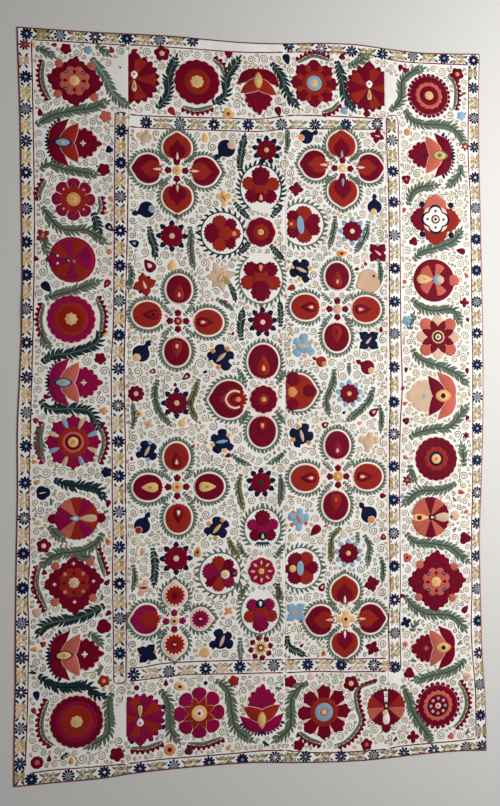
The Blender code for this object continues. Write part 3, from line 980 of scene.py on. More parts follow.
def moth(x, y, heading, size, colour, almond, bead):
    """A four-cornered leaf-like shape with notched wings."""
    polar(colour, x, y, petalled(size, 4, 0.38, heading + 45, 0.12), steps=56)
    for side in (40, 140, 220, 320):
        polar(colour, *turned(x, y, heading + side, size * 0.86, 0),
              pointed(size * 0.34, 3, 0.35, heading + side), steps=18)
    if almond:
        seed(almond, x, y, heading + 50, size * 0.9, size * 0.28, layer=2)
    if bead:
        for side in (0, 180):
            polar(bead, *turned(x, y, heading + side, size * 0.8, 0), pointed(size * 0.22, 4, 0.3),
                  steps=16)


def lobed_medallion(x, y, reach, lobes, leaves, skip=None):
    """A round flower of unlike scalloped lobes, each a heading, half angle and colour, in a leafy ring."""
    polar("crimson", x, y, scalloped(reach * 0.8, 12, 0.05), steps=72)
    wedge_petals(x, y, [(heading, half, reach, 0, colour) for heading, half, colour in lobes], 2, 0.07,
                 inner=0.6, fall=0.22)
    medallion_ring(x, y, reach + 9, leaves, 24, skip)


def carnation(x, y, heading, reach, petal, side_petal, core, eye):
    """A flower of the middle row seen from the side: a broad crown, side flames and two scalloped cheeks."""
    polar(petal, x, y, scalloped(reach * 0.7, 12, 0.05), steps=60)
    lobes = [(heading, 36, reach * 1.12, 0.05, petal)]
    for side in (1, -1):
        lobes += [(heading + side * 68, 29, reach, 0.04, side_petal),
                  (heading + side * 130, 30, reach * 0.96, 0.0, petal)]
    wedge_petals(x, y, lobes, 2, 0.07, inner=0.6, fall=0.26)
    low = heading + 180
    polar(side_petal, *turned(x, y, heading, reach * 0.06, 0), petalled(reach * 0.44, 5, 0.25, heading),
          layer=3, steps=60)
    polar(petal, *turned(x, y, heading, reach * 0.5, 0), fringed(heart(reach * 0.42, heading), 15, 0.1),
          layer=4, steps=80)
    polar(core, *turned(x, y, low, reach * 0.42, 0), heart(reach * 0.27, low), layer=4, steps=40)
    if eye:
        seed(eye, *turned(x, y, low, reach * 0.44, 0), heading, reach * 0.36, reach * 0.2, layer=5)


def middle_column():
    """The row of flowers up the middle and the round ones beside it."""
    carnation(9, 742, 90, 70, "crimson", "rust", "crimson", "gold")
    medallion_ring(9, 743, 84, "teal", 26, (244, 296), 0.87)
    rings(8, 588, ("blush", 55), ("crimson", scalloped(53, 8, 0.07)), ("rust", scalloped(30, 8, 0.1)),
          ("gold", 11), ("orange", 5))
    carnation(7, 428, 270, 75, "crimson", "rust", "crimson", "orange")
    medallion_ring(8, 425, 90, "green", 28, (62, 118), 0.86)
    rings(15, 0, ("blush", 52), ("crimson", scalloped(50, 12, 0.08)), ("rust", 19), ("gold", 9),
          ("orange", 4))
    carnation(9, -450, 90, 58, "crimson", "magenta", "navy", "gold")
    medallion_ring(9, -449, 70, "green", 24, (236, 304), 0.92)
    for number in range(-3, 4):
        leaf("teal", 9 + number * 5, -494, 270 + number * 14, 24, 8)
    rings(4, -597, ("blush", 50), ("magenta", scalloped(48, 8, 0.08)), ("rust", scalloped(22, 8, 0.14)),
          ("gold", scalloped(11, 6, 0.15)), ("blue", 5))
    for angle, across, along in ring_of(8, 31):
        seed("gold", 4 + across, -597 + along, angle, 17, 8, layer=4)
    carnation(0, -737, 270, 62, "magenta", "rust", "navy", "white")
    medallion_ring(0, -738, 75, "green", 26, (56, 124), 0.92)
    rings(0, -861, ("gold", scalloped(24, 10, 0.2)), ("crimson", pointed(19, 10, 0.5)), ("blush", 7))
    for angle, across, along in ring_of(8, 34, 10):
        polar("crimson", across, -861 + along, scalloped(11.5, 4, 0.2, angle), steps=24)
        leaf("gold", across * 0.5, -861 + along * 0.5, angle, 14, 4, layer=2)


def side_medallions():
    lobed_medallion(-127, 580, 66,
                    ((180, 46, "crimson"), (104, 30, "rust"), (256, 30, "rust"), (48, 24, "crimson"),
                                   (308, 22, "crimson"), (0, 22, "rust")), "teal")
    polar("rust", -118, 582, scalloped(26, 5, 0.12), layer=3, steps=40)
    polar("orange", -86, 580, scalloped(9, 5, 0.2), layer=4, steps=20)
    limits["left"] = 101.0
    lobed_medallion(158, 620, 68,
                    ((84, 33, "rust"), (277, 33, "rust"), (24, 24, "crimson"), (338, 24, "crimson"),
                                   (143, 25, "crimson"), (217, 27, "crimson")), "green", skip=(150, 210))
    polar("blue", 150, 618, oval(33, 13, 96), layer=3, steps=40)
    polar("rust", 120, 620, scalloped(19, 6, 0.15), layer=3, steps=24)
    polar("orange", 116, 620, 7, layer=4, steps=14)
    limits["left"] = -2000.0
    petal_heart(-105, 0, 180, "crimson", "rust", None, 64)
    strip("blush",
          smooth([(-66, 24), (-86, 30), (-106, 22), (-118, 0), (-106, -22), (-86, -30), (-66, -24)], 5),
          4.2, layer=4)
    strip("crimson", smooth([(-62, 12), (-84, 16), (-98, 0), (-84, -16), (-62, -12)], 5), 6, layer=4)
    polar("orange", -74, 0, 9, layer=5, steps=20)
    limits["left"] = 94.0
    petal_heart(138, 26, 0, "rust", None, None, 61)
    for across, along, reach in ((120, 72, 26), (178, 30, 25), (118, -18, 23)):
        polar("crimson", across, along, scalloped(reach, 7, 0.13), layer=3, steps=50)
    polar("orange", 116, 26, fringed(heart(18, 0), 9, 0.1), layer=4, steps=40)
    limits["left"] = -2000.0
    lobed_medallion(-140, -601, 63,
                    ((98, 28, "rust"), (46, 22, "crimson"), (165, 36, "magenta"), (220, 18, "crimson"),
                                    (262, 26, "rust"), (315, 26, "magenta"), (2, 20, "crimson")), "green")
    rings(-122, -604, ("teal", scalloped(21, 6, 0.15)), ("blush", 16), ("gold", 8), start=3)
    seed("navy", -94, -601, 0, 34, 17, layer=3)
    seed("salmon", -88, -601, 0, 18, 8, layer=4)
    limits["left"] = 88.0
    lobed_medallion(144, -591, 63,
                    ((126, 34, "crimson"), (60, 30, "rust"), (2, 28, "crimson"), (300, 32, "rust"),
                                    (232, 34, "crimson"), (180, 20, "crimson")), "green", skip=(150, 210))
    polar("gold", 114, -591, 13, layer=3, steps=20)
    polar("blue", 141, -591, oval(26, 13, 90), layer=3, steps=40)
    limits["left"] = -2000.0


def lily(x, y):
    """The pale flower of long petals, each outlined in a darker thread."""
    polar("beige", x, y, 24, steps=30)
    petals = ((112, 62, 31), (62, 54, 30), (20, 62, 30), (-28, 48, 28), (-78, 52, 30), (-128, 46, 29),
              (176, 54, 30),
              (145, 42, 26))
    for heading, length, width in petals:
        place = turned(x, y, heading, length * 0.44, 0)
        seed("plum", *place, heading, length + 2.5, width + 2.5)
        seed("tan" if heading == -28 else "beige", *place, heading, length, width, layer=2)
    seed("plum", x + 4, y + 4, 55, 44, 18, layer=3)
    seed("beige", x + 4, y + 4, 55, 41, 15, layer=4)


def field():
    for row in PETALS:
        limits["right"] = 455.0 if row["y"] > -850 else 450.0
        petal_heart(**row, flame=abs(row["y"]) > 600)
    limits["right"] = 2000.0
    for row in MIDDLES:
        middle_flower(**row)
    spiky_petal(-208, -753, 0, 33, "magenta", "crimson", "blush")
    spiky_petal(-294, -670, 90, 36, "scarlet", "crimson", "navy")
    spiky_petal(-296, -836, 270, 37, "scarlet", "crimson", "beige")
    for row in ROSETTES:
        small_rosette(**row)
    middle_column()
    side_medallions()
    for row in FIELD_STEMS:
        vine(row["points"], row["colour"], row["midrib"], leaf_length=row["leaf_length"] * 1.55, pitch=10.5,
             leaf_width=10.0, stem=3.6)
    makers = {"ewer": ewer, "moth": moth, "winged": winged}
    for row in CREATURES:
        if row["kind"] == "ewer":
            del row["almond"]
        makers[row.pop("kind")](**row)
    lily(-136, 424)
    rings(398, 423, ("tan", heart(43, 205, tip=0.3)), ("beige", heart(41, 205, tip=0.3)))
    polar("rust", 415, 441, 6.5, layer=3, steps=14)
    for row in FIELD_SEEDS:
        seed(**row, eye_size=0.42)
    rings(-425, 20, ("crimson", scalloped(29, 9, 0.15)), ("beige", 9))


# The broad border

def disc_flower(x, y, *bands, beads=None):
    """A round flower: bands from the outside in, and a ring of round knobs if asked."""
    if beads:
        colour, count, reach, size = beads
        for angle, across, along in ring_of(count, reach):
            polar(colour, x + across, y + along, scalloped(size, 6, 0.1), steps=22)
    largest = float(np.max(outline_of(bands[0][1])(np.linspace(0, math.tau, 90))))
    rings(x, y, ("blush", largest * 0.985 + 2.2), *bands)


def eight_petals(x, y, reach, petal, turn=0.0, sharp=False):
    """Eight separate petals round a middle, with pale gaps between them."""
    polar("blush", x, y, reach * 0.86, steps=90)
    lobes = [(turn + 45 * number, 21.6, reach * 0.96, 0.07 if sharp else 0.0, petal) for number in range(8)]
    wedge_petals(x, y, lobes, 2, 0.05 if sharp else 0.0)


def four_tips(x, y, petal, tips, knobs, inner, core, spot="plum", mark="plum"):
    """Four big scalloped petals with tips, four round knobs, and a lobed inner flower."""
    polar(petal, x, y, 60, steps=60, inner=40)
    for tip_x, tip_y in tips:
        heading = math.degrees(math.atan2(tip_y - y, tip_x - x))
        away = math.hypot(tip_x - x, tip_y - y)
        place = turned(x, y, heading, away - 55, 0)
        polar(petal, *place, fringed(heart(46, heading, tip=0.32, notch=0, wide=1.22), 13, 0.12), layer=2,
              steps=84, lay=heading)
        take_disc(*place, 50)
        polar(mark, *turned(x, y, heading, 64, 0), pointed(8, 4, 0.5, heading), layer=3, steps=16)
    for knob_x, knob_y in knobs:
        polar("salmon", knob_x, knob_y, scalloped(15, 7, 0.14), layer=3, steps=30)
    rings(x, y, ("crimson", scalloped(55, 8, 0.16, 22.5)), (inner, scalloped(53, 8, 0.18, 22.5)), start=3)
    for angle, across, along in ring_of(4, 42, 45):
        rings(x + across, y + along, (spot, 8), ("beige", 3), start=5)
    for angle, across, along in ring_of(4, 30):
        seed("crimson", x + across, y + along, angle + 180, 19, 13, layer=5)
    polar(core, x, y, scalloped(19, 8, 0.12), layer=5, steps=32)
    polar("beige", x, y, 8, layer=6, steps=14)
    take_disc(x, y, 80)


def cut_wheel(x, y, reach, first, second, knob, cut, heading=270):
    """A wheel of wedges and knobs, cut straight where two loom widths were sewn together."""
    side, place = cut
    limits[side] = place
    polar(first, x, y, reach - 3, steps=80)
    for number in range(10):
        start = heading + 18 + number * 36
        polar(first if number % 2 else second, x, y, heart_wedge(reach - 6, start, 36), start - 18,
              start + 18,
              layer=2, steps=12, inner=1.0, lay=start)
    for angle, across, along in ring_of(20, reach - 3, 9):
        polar(knob, x + across, y + along, scalloped(9.5, 4, 0.2, angle), layer=2, steps=20)
    polar(knob, *turned(x, y, heading + 180, reach - 4, 0),
          fringed(heart(17, heading + 180, tip=0.4), 9, 0.1), layer=3,
          steps=40)
    polar("white", *turned(x, y, heading + 180, 15, 0), heart(12, heading + 180, notch=-0.4), layer=3,
          steps=26)
    polar("crimson", *turned(x, y, heading + 180, 16, 0), 4, layer=4, steps=12)
    almond = turned(x, y, heading, 24, 0)
    seed("navy", *almond, heading + 180, 52, 25, layer=3)
    seed("gold", *almond, heading + 180, 44, 18, layer=4)
    seed("salmon", *almond, heading + 180, 22, 8, layer=5)
    limits[side] = 2000.0 if side == "right" else -2000.0
    take_disc(x, y, reach + 6)


def half_wheels(x, y, heading, reach, hues, almond, middle, spot, knobs=(1, -1), shift=4):
    """Two half wheels, with an almond on one side of the gap and a spot in the middle."""
    split_wheel(x, y, heading, reach, hues, spread=86 if shift else 90, shift=shift)
    for side in knobs:
        polar("crimson", *turned(x, y, heading, side * (reach + 6), 0),
              fringed(heart(17, heading + 90 - side * 90), 9, 0.1),
              layer=2, steps=40)
    seed(almond, *turned(x, y, heading, -reach * 0.5, 0), heading, reach * 0.85, 27, layer=3)
    seed(middle, *turned(x, y, heading, reach * 0.1, 0), heading, 32, 19, spot, layer=4)


def radial_leaves(colour, x, y, count, start, length, width, turn=0.0):
    for angle, _, _ in ring_of(count, start, turn):
        seed(colour, *turned(x, y, angle, start + length / 2, 0), angle + 180, length, width, layer=3)


def left_flowers():
    """Border flowers of the left side, from the top down."""
    four_tips(-631, 1090, "crimson", ((-629, 1172), (-538, 1080), (-627, 1003), (-722, 1096)),
              ((-683, 1147), (-575, 1145), (-565, 1036), (-686, 1042)), "salmon", "gold")
    palmette(-643, 876, 0, wing="rust", eye=("navy", "blue", "beige"))
    eight_petals(-634, 682, 76, "magenta")
    rings(-634, 682, ("rust", pointed(60, 8, 0.32, 0)), ("orange", 24), ("gold", 15), ("orange", 6),
          start=3)
    dots("blush", -634, 682, 4, 47, 3.5, 45, layer=4)
    dots("plum", -634, 682, 4, 46, 5, 0, layer=4)
    disc_flower(-638, 475, ("magenta", scalloped(79, 24, 0.02)), ("rust", scalloped(74, 24, 0.03)))
    for number in range(9):
        start = number * 40 + 8
        polar("rust" if number % 2 else "magenta", -638, 475, 69, start, start + 40, layer=4, steps=12,
              inner=2)
    polar("magenta", -694, 475, fringed(heart(24, 180, tip=0.5), 9, 0.1), layer=5, steps=44)
    dots("blush", -686, 475, 2, 13, 5, 90, layer=6)
    rings(-650, 472, ("plum", 11), ("blue", 4.5), start=5)
    polar("salmon", -632, 470, 6, layer=6, steps=14)
    disc_flower(-641, 273, ("magenta", scalloped(82, 20, 0.06)), ("rust", scalloped(58, 12, 0.03)),
                ("scarlet", scalloped(44, 12, 0.04)), ("gold", pointed(23, 8, 0.2)),
                ("beige", scalloped(14, 6, 0.1)))
    palmette(-640, 58, 0, claw="magenta", wing="salmon", eye=("teal", "blue", "orange"), bud="magenta")
    eight_petals(-634, -143, 93, "magenta", sharp=True)
    radial_leaves("blue", -634, -143, 4, 44, 42, 17, 22.5)
    radial_leaves("beige", -634, -143, 4, 44, 42, 17, 67.5)
    rings(-634, -143, ("rust", scalloped(54, 16, 0.08)), ("salmon", 36), ("crimson", 28), ("gold", 18),
          ("orange", 8), start=3)
    half_wheels(-622, -400, 180, 73, ("magenta", "salmon", "rust", "magenta", "rust"), "beige", "blue",
                "white",
                shift=0)
    four_tips(-631, -615, "crimson", ((-633, -529), (-535, -610), (-628, -719), (-728, -620)),
              ((-692, -557), (-578, -547), (-693, -677), (-569, -667)), "rust", "beige", "salmon", "blush")
    palmette(-636, -855, 0, wing="salmon", eye=("navy", "gold", "orange"), star="white")
    disc_flower(-622, -1077, ("crimson", scalloped(89, 24, 0.05)), ("magenta", scalloped(70, 20, 0.04)),
                ("rust", scalloped(56, 10, 0.05)), ("gold", scalloped(21, 8, 0.12)),
                ("beige", 11))


def top_flowers():
    cut_wheel(-430, 1108, 82, "crimson", "rust", "crimson", ("left", -450.0))
    disc_flower(-214, 1108, ("crimson", scalloped(81, 16, 0.06)), ("rust", scalloped(46, 16, 0.03)),
                ("gold", scalloped(24, 8, 0.13)), ("beige", 9))
    palmette(2, 1100, 270, wing="rust", eye=("orange", "gold", "beige"), spikes=None, star=None, size=0.94)
    for number in range(-6, 7):
        leaf("crimson", *turned(2, 1096, 90 + number * 13, 60, 0), 90 + number * 13, 25, 10)
    eight_petals(203, 1128, 88, "crimson", sharp=True)
    radial_leaves("rust", 203, 1128, 8, 36, 34, 22, 22.5)
    rings(203, 1128, ("rust", scalloped(45, 16, 0.05)), ("blue", 28), ("beige", 16), ("gold", 7), start=3)
    cut_wheel(405, 1122, 82, "crimson", "rust", "crimson", ("right", 461.0))
    disc_flower(628, 1105, ("crimson", 72), ("salmon", scalloped(52, 14, 0.08)), ("crimson", 37),
                ("gold", 17), ("beige", 8), beads=("crimson", 28, 75, 8.5))


def bottom_flowers():
    limits["left"] = -458.0
    cut_wheel(-412, -1078, 78, "magenta", "rust", "magenta", ("left", -458.0), 90)
    for x, y in ((-424, -1008), (-376, -1010), (-335, -1044), (-334, -1111), (-376, -1150), (-440, -1154),
                 (-450, -1012)):
        polar("navy", x, y, 9, steps=16)
    eight_petals(-213, -1071, 90, "magenta")
    rings(-213, -1071, ("orange", pointed(59, 8, 0.42, 22.5)), ("rust", pointed(56.5, 8, 0.42, 22.5)),
          ("gold", 27),
          ("blush", 16), ("plum", 6), start=3)
    palmette(3, -1082, 90, claw="magenta", wing="rust", eye=("orange", "gold", "beige"), star=None,
             bud="magenta",
             size=0.94)
    eight_petals(222, -1094, 96, "crimson", sharp=True)
    radial_leaves("blush", 222, -1094, 8, 52, 34, 12, 22.5)
    rings(222, -1094, ("rust", scalloped(52, 16, 0.05)), ("blue", scalloped(33, 16, 0.04)), ("salmon", 15),
          ("gold", 10), start=3)
    half_wheels(446, -1090, 90, 66, ("crimson", "rust", "salmon", "crimson"), "white", "navy", "gold",
                (-1,))
    for number in range(-3, 4):
        leaf("navy", 444 + number * 3, -1034, 90 + number * 17, 18, 6)
    rings(441, -1108, ("gold", 9), start=5)
    disc_flower(636, -1094, ("crimson", 74), ("salmon", scalloped(56, 16, 0.09)), ("crimson", 41),
                ("blush", scalloped(12, 6, 0.1)), ("salmon", 5), beads=("crimson", 24, 76, 9))
    dots("blue", 636, -1094, 4, 27, 6.5, 0, layer=5)
    dots("beige", 636, -1094, 4, 27, 6.5, 45, layer=5)


def right_flowers():
    """Border flowers of the right side, from the top down."""
    palmette(640, 888, 180, wing="salmon", eye=("olive", "gold", "olive"), star=None, bud_at=38,
             bud_reach=46, eye_size=(62, 40))
    polar("navy", 610, 882, pointed(8, 4, 0.3), layer=4, steps=16)
    polar("crimson", 648, 652, 58, steps=80)
    for heading, colour, away in ((90, "salmon", 45), (0, "rust", 46), (270, "rust", 46),
                                  (180, "crimson", 47)):
        polar(colour, *turned(648, 652, heading, away, 0), fringed(heart(44, heading, tip=0.16), 15, 0.08),
              layer=2, steps=84, lay=heading)
    polar("blush", 648, 653, scalloped(52, 4, 0.2, 45), layer=3, steps=60)
    rings(648, 653, ("navy", scalloped(54, 4, 0.27, 0)), ("white", scalloped(46, 4, 0.27, 0)), start=4)
    for angle, across, along in ring_of(4, 30):
        polar("teal", 648 + across, 653 + along, scalloped(6, 5, 0.2), layer=6, steps=20)
    rings(648, 653, ("teal", 17), ("blush", 12), ("crimson", 6), start=6)
    dots("navy", 653, 652, 4, 77, 11, 45, layer=3, sides=18)
    disc_flower(640, 430, ("crimson", 78))
    for start, end in ((112, 160), (48, 86), (200, 243), (280, 320)):
        polar("salmon", 642, 432, heart_wedge(61, (start + end) / 2, end - start), start, end, layer=3,
              steps=12, inner=8)
    seed("gold", 606, 434, 0, 60, 34, "blue", layer=4, eye_size=0.3)
    polar("blue", 656, 433, 19, layer=4, steps=30)
    polar("beige", 664, 433, 14, layer=5, steps=24)
    polar("salmon", 714, 432, fringed(heart(21, 0), 9, 0.1), layer=3, steps=30)
    for number in range(-1, 2):
        leaf("green", 572, 432, 180 + number * 32, 26, 7)
    polar("blush", 653, 225, 40, steps=60)
    for turn, colour, away, size in ((0, "beige", 61, 22), (45, "salmon", 64, 25)):
        for angle, across, along in ring_of(4, away, turn):
            polar(colour, 653 + across, 225 + along, scalloped(size, 9, 0.1, angle), layer=1, steps=50,
                  lay=angle)
    rings(653, 225, ("crimson", pointed(66, 8, 0.42, 22.5)), ("crimson", 36),
          ("gold", scalloped(25, 10, 0.06)),
          ("navy", 19), ("blush", 12), ("olive", 6), start=3)
    palmette(641, 12, 180, claw="salmon", wing="crimson", bud="beige", eye=("orange", "gold", "navy"),
             spikes=None,
             star="blue", bud_at=40, bud_reach=52, size=1.06, eye_size=(60, 44))
    disc_flower(641, -215, ("crimson", scalloped(80, 20, 0.05)), ("plum", scalloped(46, 10, 0.1)),
                ("rust", scalloped(45, 10, 0.11)), ("navy", 27), ("gold", 18), ("salmon", 6))
    half_wheels(616, -424, 0, 70, ("crimson", "salmon", "crimson", "salmon", "salmon"), "gold", "navy",
                "blush", ())
    polar("crimson", 575, -424, heart(9, 270), layer=5, steps=20)
    seed("beige", 655, -424, 180, 62, 34, layer=3)
    polar("beige", 707, -420, scalloped(20, 5, 0.14), steps=30)
    polar("teal", 694, -424, 5, layer=2, steps=14)
    four_tips(636, -655, "crimson", ((639, -545), (745, -651), (628, -760), (531, -650)),
              ((576, -592), (704, -603), (570, -708), (696, -714)), "salmon", "gold", "navy")
    palmette(634, -890, 180, wing="salmon", eye=("orange", "gold", "navy"), spikes=None, star="salmon",
             size=0.95, eye_size=(62, 42))


# Leafy stems of the border: leaf colour, midrib colour, points
BORDER_VINES = rows("""colour midrib points
green blue -575,1175 -530,1110 -500,1050 -455,1012; green - -758,930 -700,968 -640,985 -570,1000 -525,1022;
green plum -738,655 -690,590 -640,575 -590,578 -532,540; green plum -728,342 -640,368 -552,402;
teal - -738,125 -700,150 -640,158 -560,190 -546,228; teal - -742,0 -710,-30 -590,-35 -550,-98;
teal navy -698,-268 -647,-289 -599,-291 -554,-303 -534,-330;
green plum -535,-450 -557,-484 -600,-508 -668,-515 -709,-529 -735,-556;
teal - -530,-694 -578,-719 -633,-736 -692,-743 -726,-753 -745,-780;
teal navy -745,-915 -712,-945 -674,-959 -626,-961 -585,-959 -560,-990 -532,-997;
green - -504,-985 -518,-1028 -514,-1105 -530,-1136 -583,-1162;
green plum -346,-985 -320,-1021 -312,-1073 -310,-1125 -286,-1160;
green plum -158,-966 -124,-987 -108,-1021 -99,-1090 -85,-1136 -35,-1175;
green - 168,-988 128,-1009 106,-1049 105,-1100 98,-1145 50,-1180;
green - 506,-1016 530,-1063 541,-1108 565,-1152 592,-1187 608,-1220;
green - 744,-936 717,-959 682,-977 634,-985 592,-994 554,-1000;
green - 520,-700 550,-740 600,-768 682,-776 717,-796 740,-828;
green - 525,-479 558,-512 599,-515 644,-522 689,-532 722,-559 753,-584;
green - 716,-303 668,-325 627,-329 585,-329 554,-343 521,-373;
teal - -352,1008 -314,1060 -312,1120 -288,1188; teal - -162,1036 -117,1062 -110,1130 -68,1198;
teal - 48,1194 88,1140 100,1092 138,1044; teal - 285,1215 306,1150 314,1090 346,1044;
green - 326,1196 362,1212 400,1240; green - 480,1040 522,1086 527,1150 560,1186 604,1204;
green - 536,1050 560,1014 600,1000 700,998 742,968 762,934; green - 548,700 560,745 590,768 652,778;
green - 563,502 600,535 660,552 720,577 742,614; green - 553,362 600,328 650,320 710,325 738,278;
green - 558,182 570,157 600,137 680,112 730,87 758,57; green - 543,-142 570,-122 640,-107 700,-97 758,-28;
green - -762,1196 -730,1188 -704,1172; green - -742,775 -720,800 -670,786 -560,770;
green - -740,560 -728,530 -722,500; green - 748,860 742,820 700,780; green - -745,-90 -748,-130 -742,-180;
green - -585,-785 -560,-800 -545,-822; green - -714,-422 -692,-448 -668,-469;
teal - -568,640 -556,600 -548,570; green - -562,-540 -590,-530 -620,-526;
green - 747,-245 744,-205 738,-170; green - 545,-235 546,-265 560,-290; green - 548,250 550,270 560,300;
green - 546,-830 548,-812 560,-800; green - -560,1218 -540,1205 -520,1190;
green - -740,240 -730,200 -716,180""")

BORDER_CENTRES = ((-631, 1090), (-430, 1105), (-214, 1108), (203, 1128), (628, 1105), (-634, 682),
                  (-641, 273),
                  (-634, -143), (-631, -612), (-622, -1077), (-405, -1072), (-213, -1071), (222, -1094),
                  (636, -1094))

# Stems with small buds along their outer side: bud colour, points
WREATHS = rows("""bud points
crimson -730,1150 -738,1108 -730,1060 -708,1020; crimson -160,1190 -132,1170 -118,1130;
crimson -262,1022 -214,1012 -158,1030; crimson 146,1198 200,1226 262,1212;
crimson 230,1028 268,1040 294,1070; crimson 700,1182 728,1150 728,1090 716,1054;
crimson -724,742 -744,700 -742,676; crimson -552,694 -545,660 -556,632; crimson -560,344 -540,290 -546,222;
crimson -728,320 -740,270 -730,215; magenta -728,-80 -742,-143 -726,-206;
crimson -550,-84 -534,-143 -552,-208; crimson -557,-512 -543,-557 -530,-600;
crimson -742,-560 -750,-620 -718,-700; crimson -712,-1004 -730,-1049 -734,-1090 -724,-1125 -692,-1152;
crimson -440,-1174 -390,-1176 -337,-1158; crimson -250,-1170 -199,-1176 -136,-1158;
crimson 400,-1000 340,-1024 338,-1080 352,-1130 330,-1172 293,-1201 258,-1210;
crimson 136,-1156 172,-1184 216,-1200; crimson 713,-1018 738,-1063 741,-1108 720,-1152 689,-1176""")

# Small flowers and leaves of the border: kind, x, y, reach, colour, eye colour
BORDER_SMALL = rows("""kind x y reach colour eye
five -660 1199 19 crimson -; leaf -765 1208 15 gold -; five -586 1199 15 blue -; drop -507 1206 13 rust -;
dot -478 1145 4 teal -; drop -745 976 14 crimson -; five -527 972 21 salmon -; leaf -525 930 16 beige -;
three -515 858 14 navy -; five -533 788 22 crimson -; five -335 1203 27 crimson beige;
drop -428 1206 13 scarlet -; three -103 1214 15 crimson -; drop -300 1000 18 rust -;
three -105 1002 22 gold rust; drop 104 1208 20 navy -; three 306 1230 13 crimson -;
drop 72 1018 18 crimson -; three 312 1034 15 blue -; five 395 1028 13 crimson -; drop 522 1202 14 crimson -;
five 738 1192 24 crimson orange; five 750 1037 17 blue -; leaf 760 1122 14 olive -;
disc 545 968 14 orange -; three 540 796 18 crimson salmon; wings -735 555 24 rust blue;
drop -513 588 18 navy beige; drop -508 685 13 orange -; disc -515 505 11 orange -;
three -757 476 10 crimson -; drop -722 380 22 navy -; drop -523 395 17 magenta salmon;
leaf -752 145 12 gold -; five -545 140 20 crimson -; drop -720 10 13 crimson -; three -535 -38 14 orange -;
three -757 -70 11 rust -; drop -760 -208 11 orange -; leaf -525 222 15 gold -; five -524 -246 18 navy -;
drop 530 682 12 salmon crimson; three 565 570 17 crimson -; drop 743 540 18 crimson -;
disc 530 423 9 salmon -; drop 763 452 12 salmon -; wings 755 352 18 crimson -; five 537 282 19 blue -;
drop 767 288 10 crimson -; drop 532 105 11 crimson -; drop 762 102 12 crimson -; drop 528 -15 11 salmon -;
three 530 -78 14 crimson -; star 755 -132 16 crimson -; drop 528 -210 12 salmon -;
blob -733 -312 25 navy blush; drop -752 -276 12 orange -; leaf -704 -343 14 green -;
drop -519 -353 14 crimson -; leaf -527 -379 12 green -; drop -752 -412 13 gold -;
five -730 -489 24 crimson blush; drop -520 -479 15 orange rust; disc -750 -558 8 orange -;
three -728 -578 10 crimson -; drop -521 -617 13 crimson -; leaf -764 -639 11 teal -;
blob -752 -710 17 beige -; leaf -537 -667 13 green -; drop -519 -722 13 crimson -;
blob -533 -765 26 crimson -; drop -762 -831 13 orange -; three -732 -815 11 rust -;
leaf -764 -905 14 teal -; leaf -548 -908 21 green -; leaf -516 -797 12 green -;
five -533 -946 20 rust orange; drop -752 -985 17 navy -; drop -760 -1035 13 rust -;
drop -711 -1193 12 crimson navy; leaf -661 -1190 17 teal blush; drop -640 -1205 13 orange -;
disc -750 -1204 22 crimson salmon; five -490 -1194 24 crimson -; disc -424 -975 10 crimson -;
drop -326 -964 12 crimson -; drop -277 -980 22 gold crimson; disc -191 -972 8 navy -;
disc -313 -1190 21 orange crimson; blob -249 -1198 16 plum -; five -94 -970 19 rust -;
drop -112 -1194 13 orange -; five 103 -983 21 crimson -; blob 176 -968 15 blush beige;
five 320 -1000 27 crimson gold; leaf 60 -1005 14 green -; five 132 -1203 20 crimson -;
five 374 -1216 21 crimson salmon; drop 330 -1222 10 gold -; leaf 14 -1192 16 teal -;
wings 544 -1200 22 crimson -; leaf 480 -1205 12 navy -; three 684 -1206 13 salmon -;
leaf 748 -1196 15 green -; star 532 -290 21 crimson salmon; drop 513 -345 11 blue -;
drop 734 -337 14 salmon crimson; leaf 706 -363 12 olive -; leaf 706 -470 12 olive -;
drop 749 -408 11 salmon -; three 746 -503 23 crimson -; three 529 -566 18 salmon crimson;
drop 744 -757 17 crimson -; drop 512 -701 12 crimson -; wings 522 -795 20 navy -; star 518 -873 14 salmon -;
three 532 -975 21 crimson -; leaf 548 -930 14 olive -; blob 746 -998 17 beige crimson;
leaf 723 -878 13 green -; leaf 572 -825 12 olive -; star 765 925 19 rust blush; dot 720 1020 5 gold -;
three 540 1196 12 crimson -; drop -700 1210 11 rust -; drop 520 40 10 rust -; drop 760 -70 11 crimson -;
disc 765 -330 8 gold -; drop -525 640 10 orange -""")


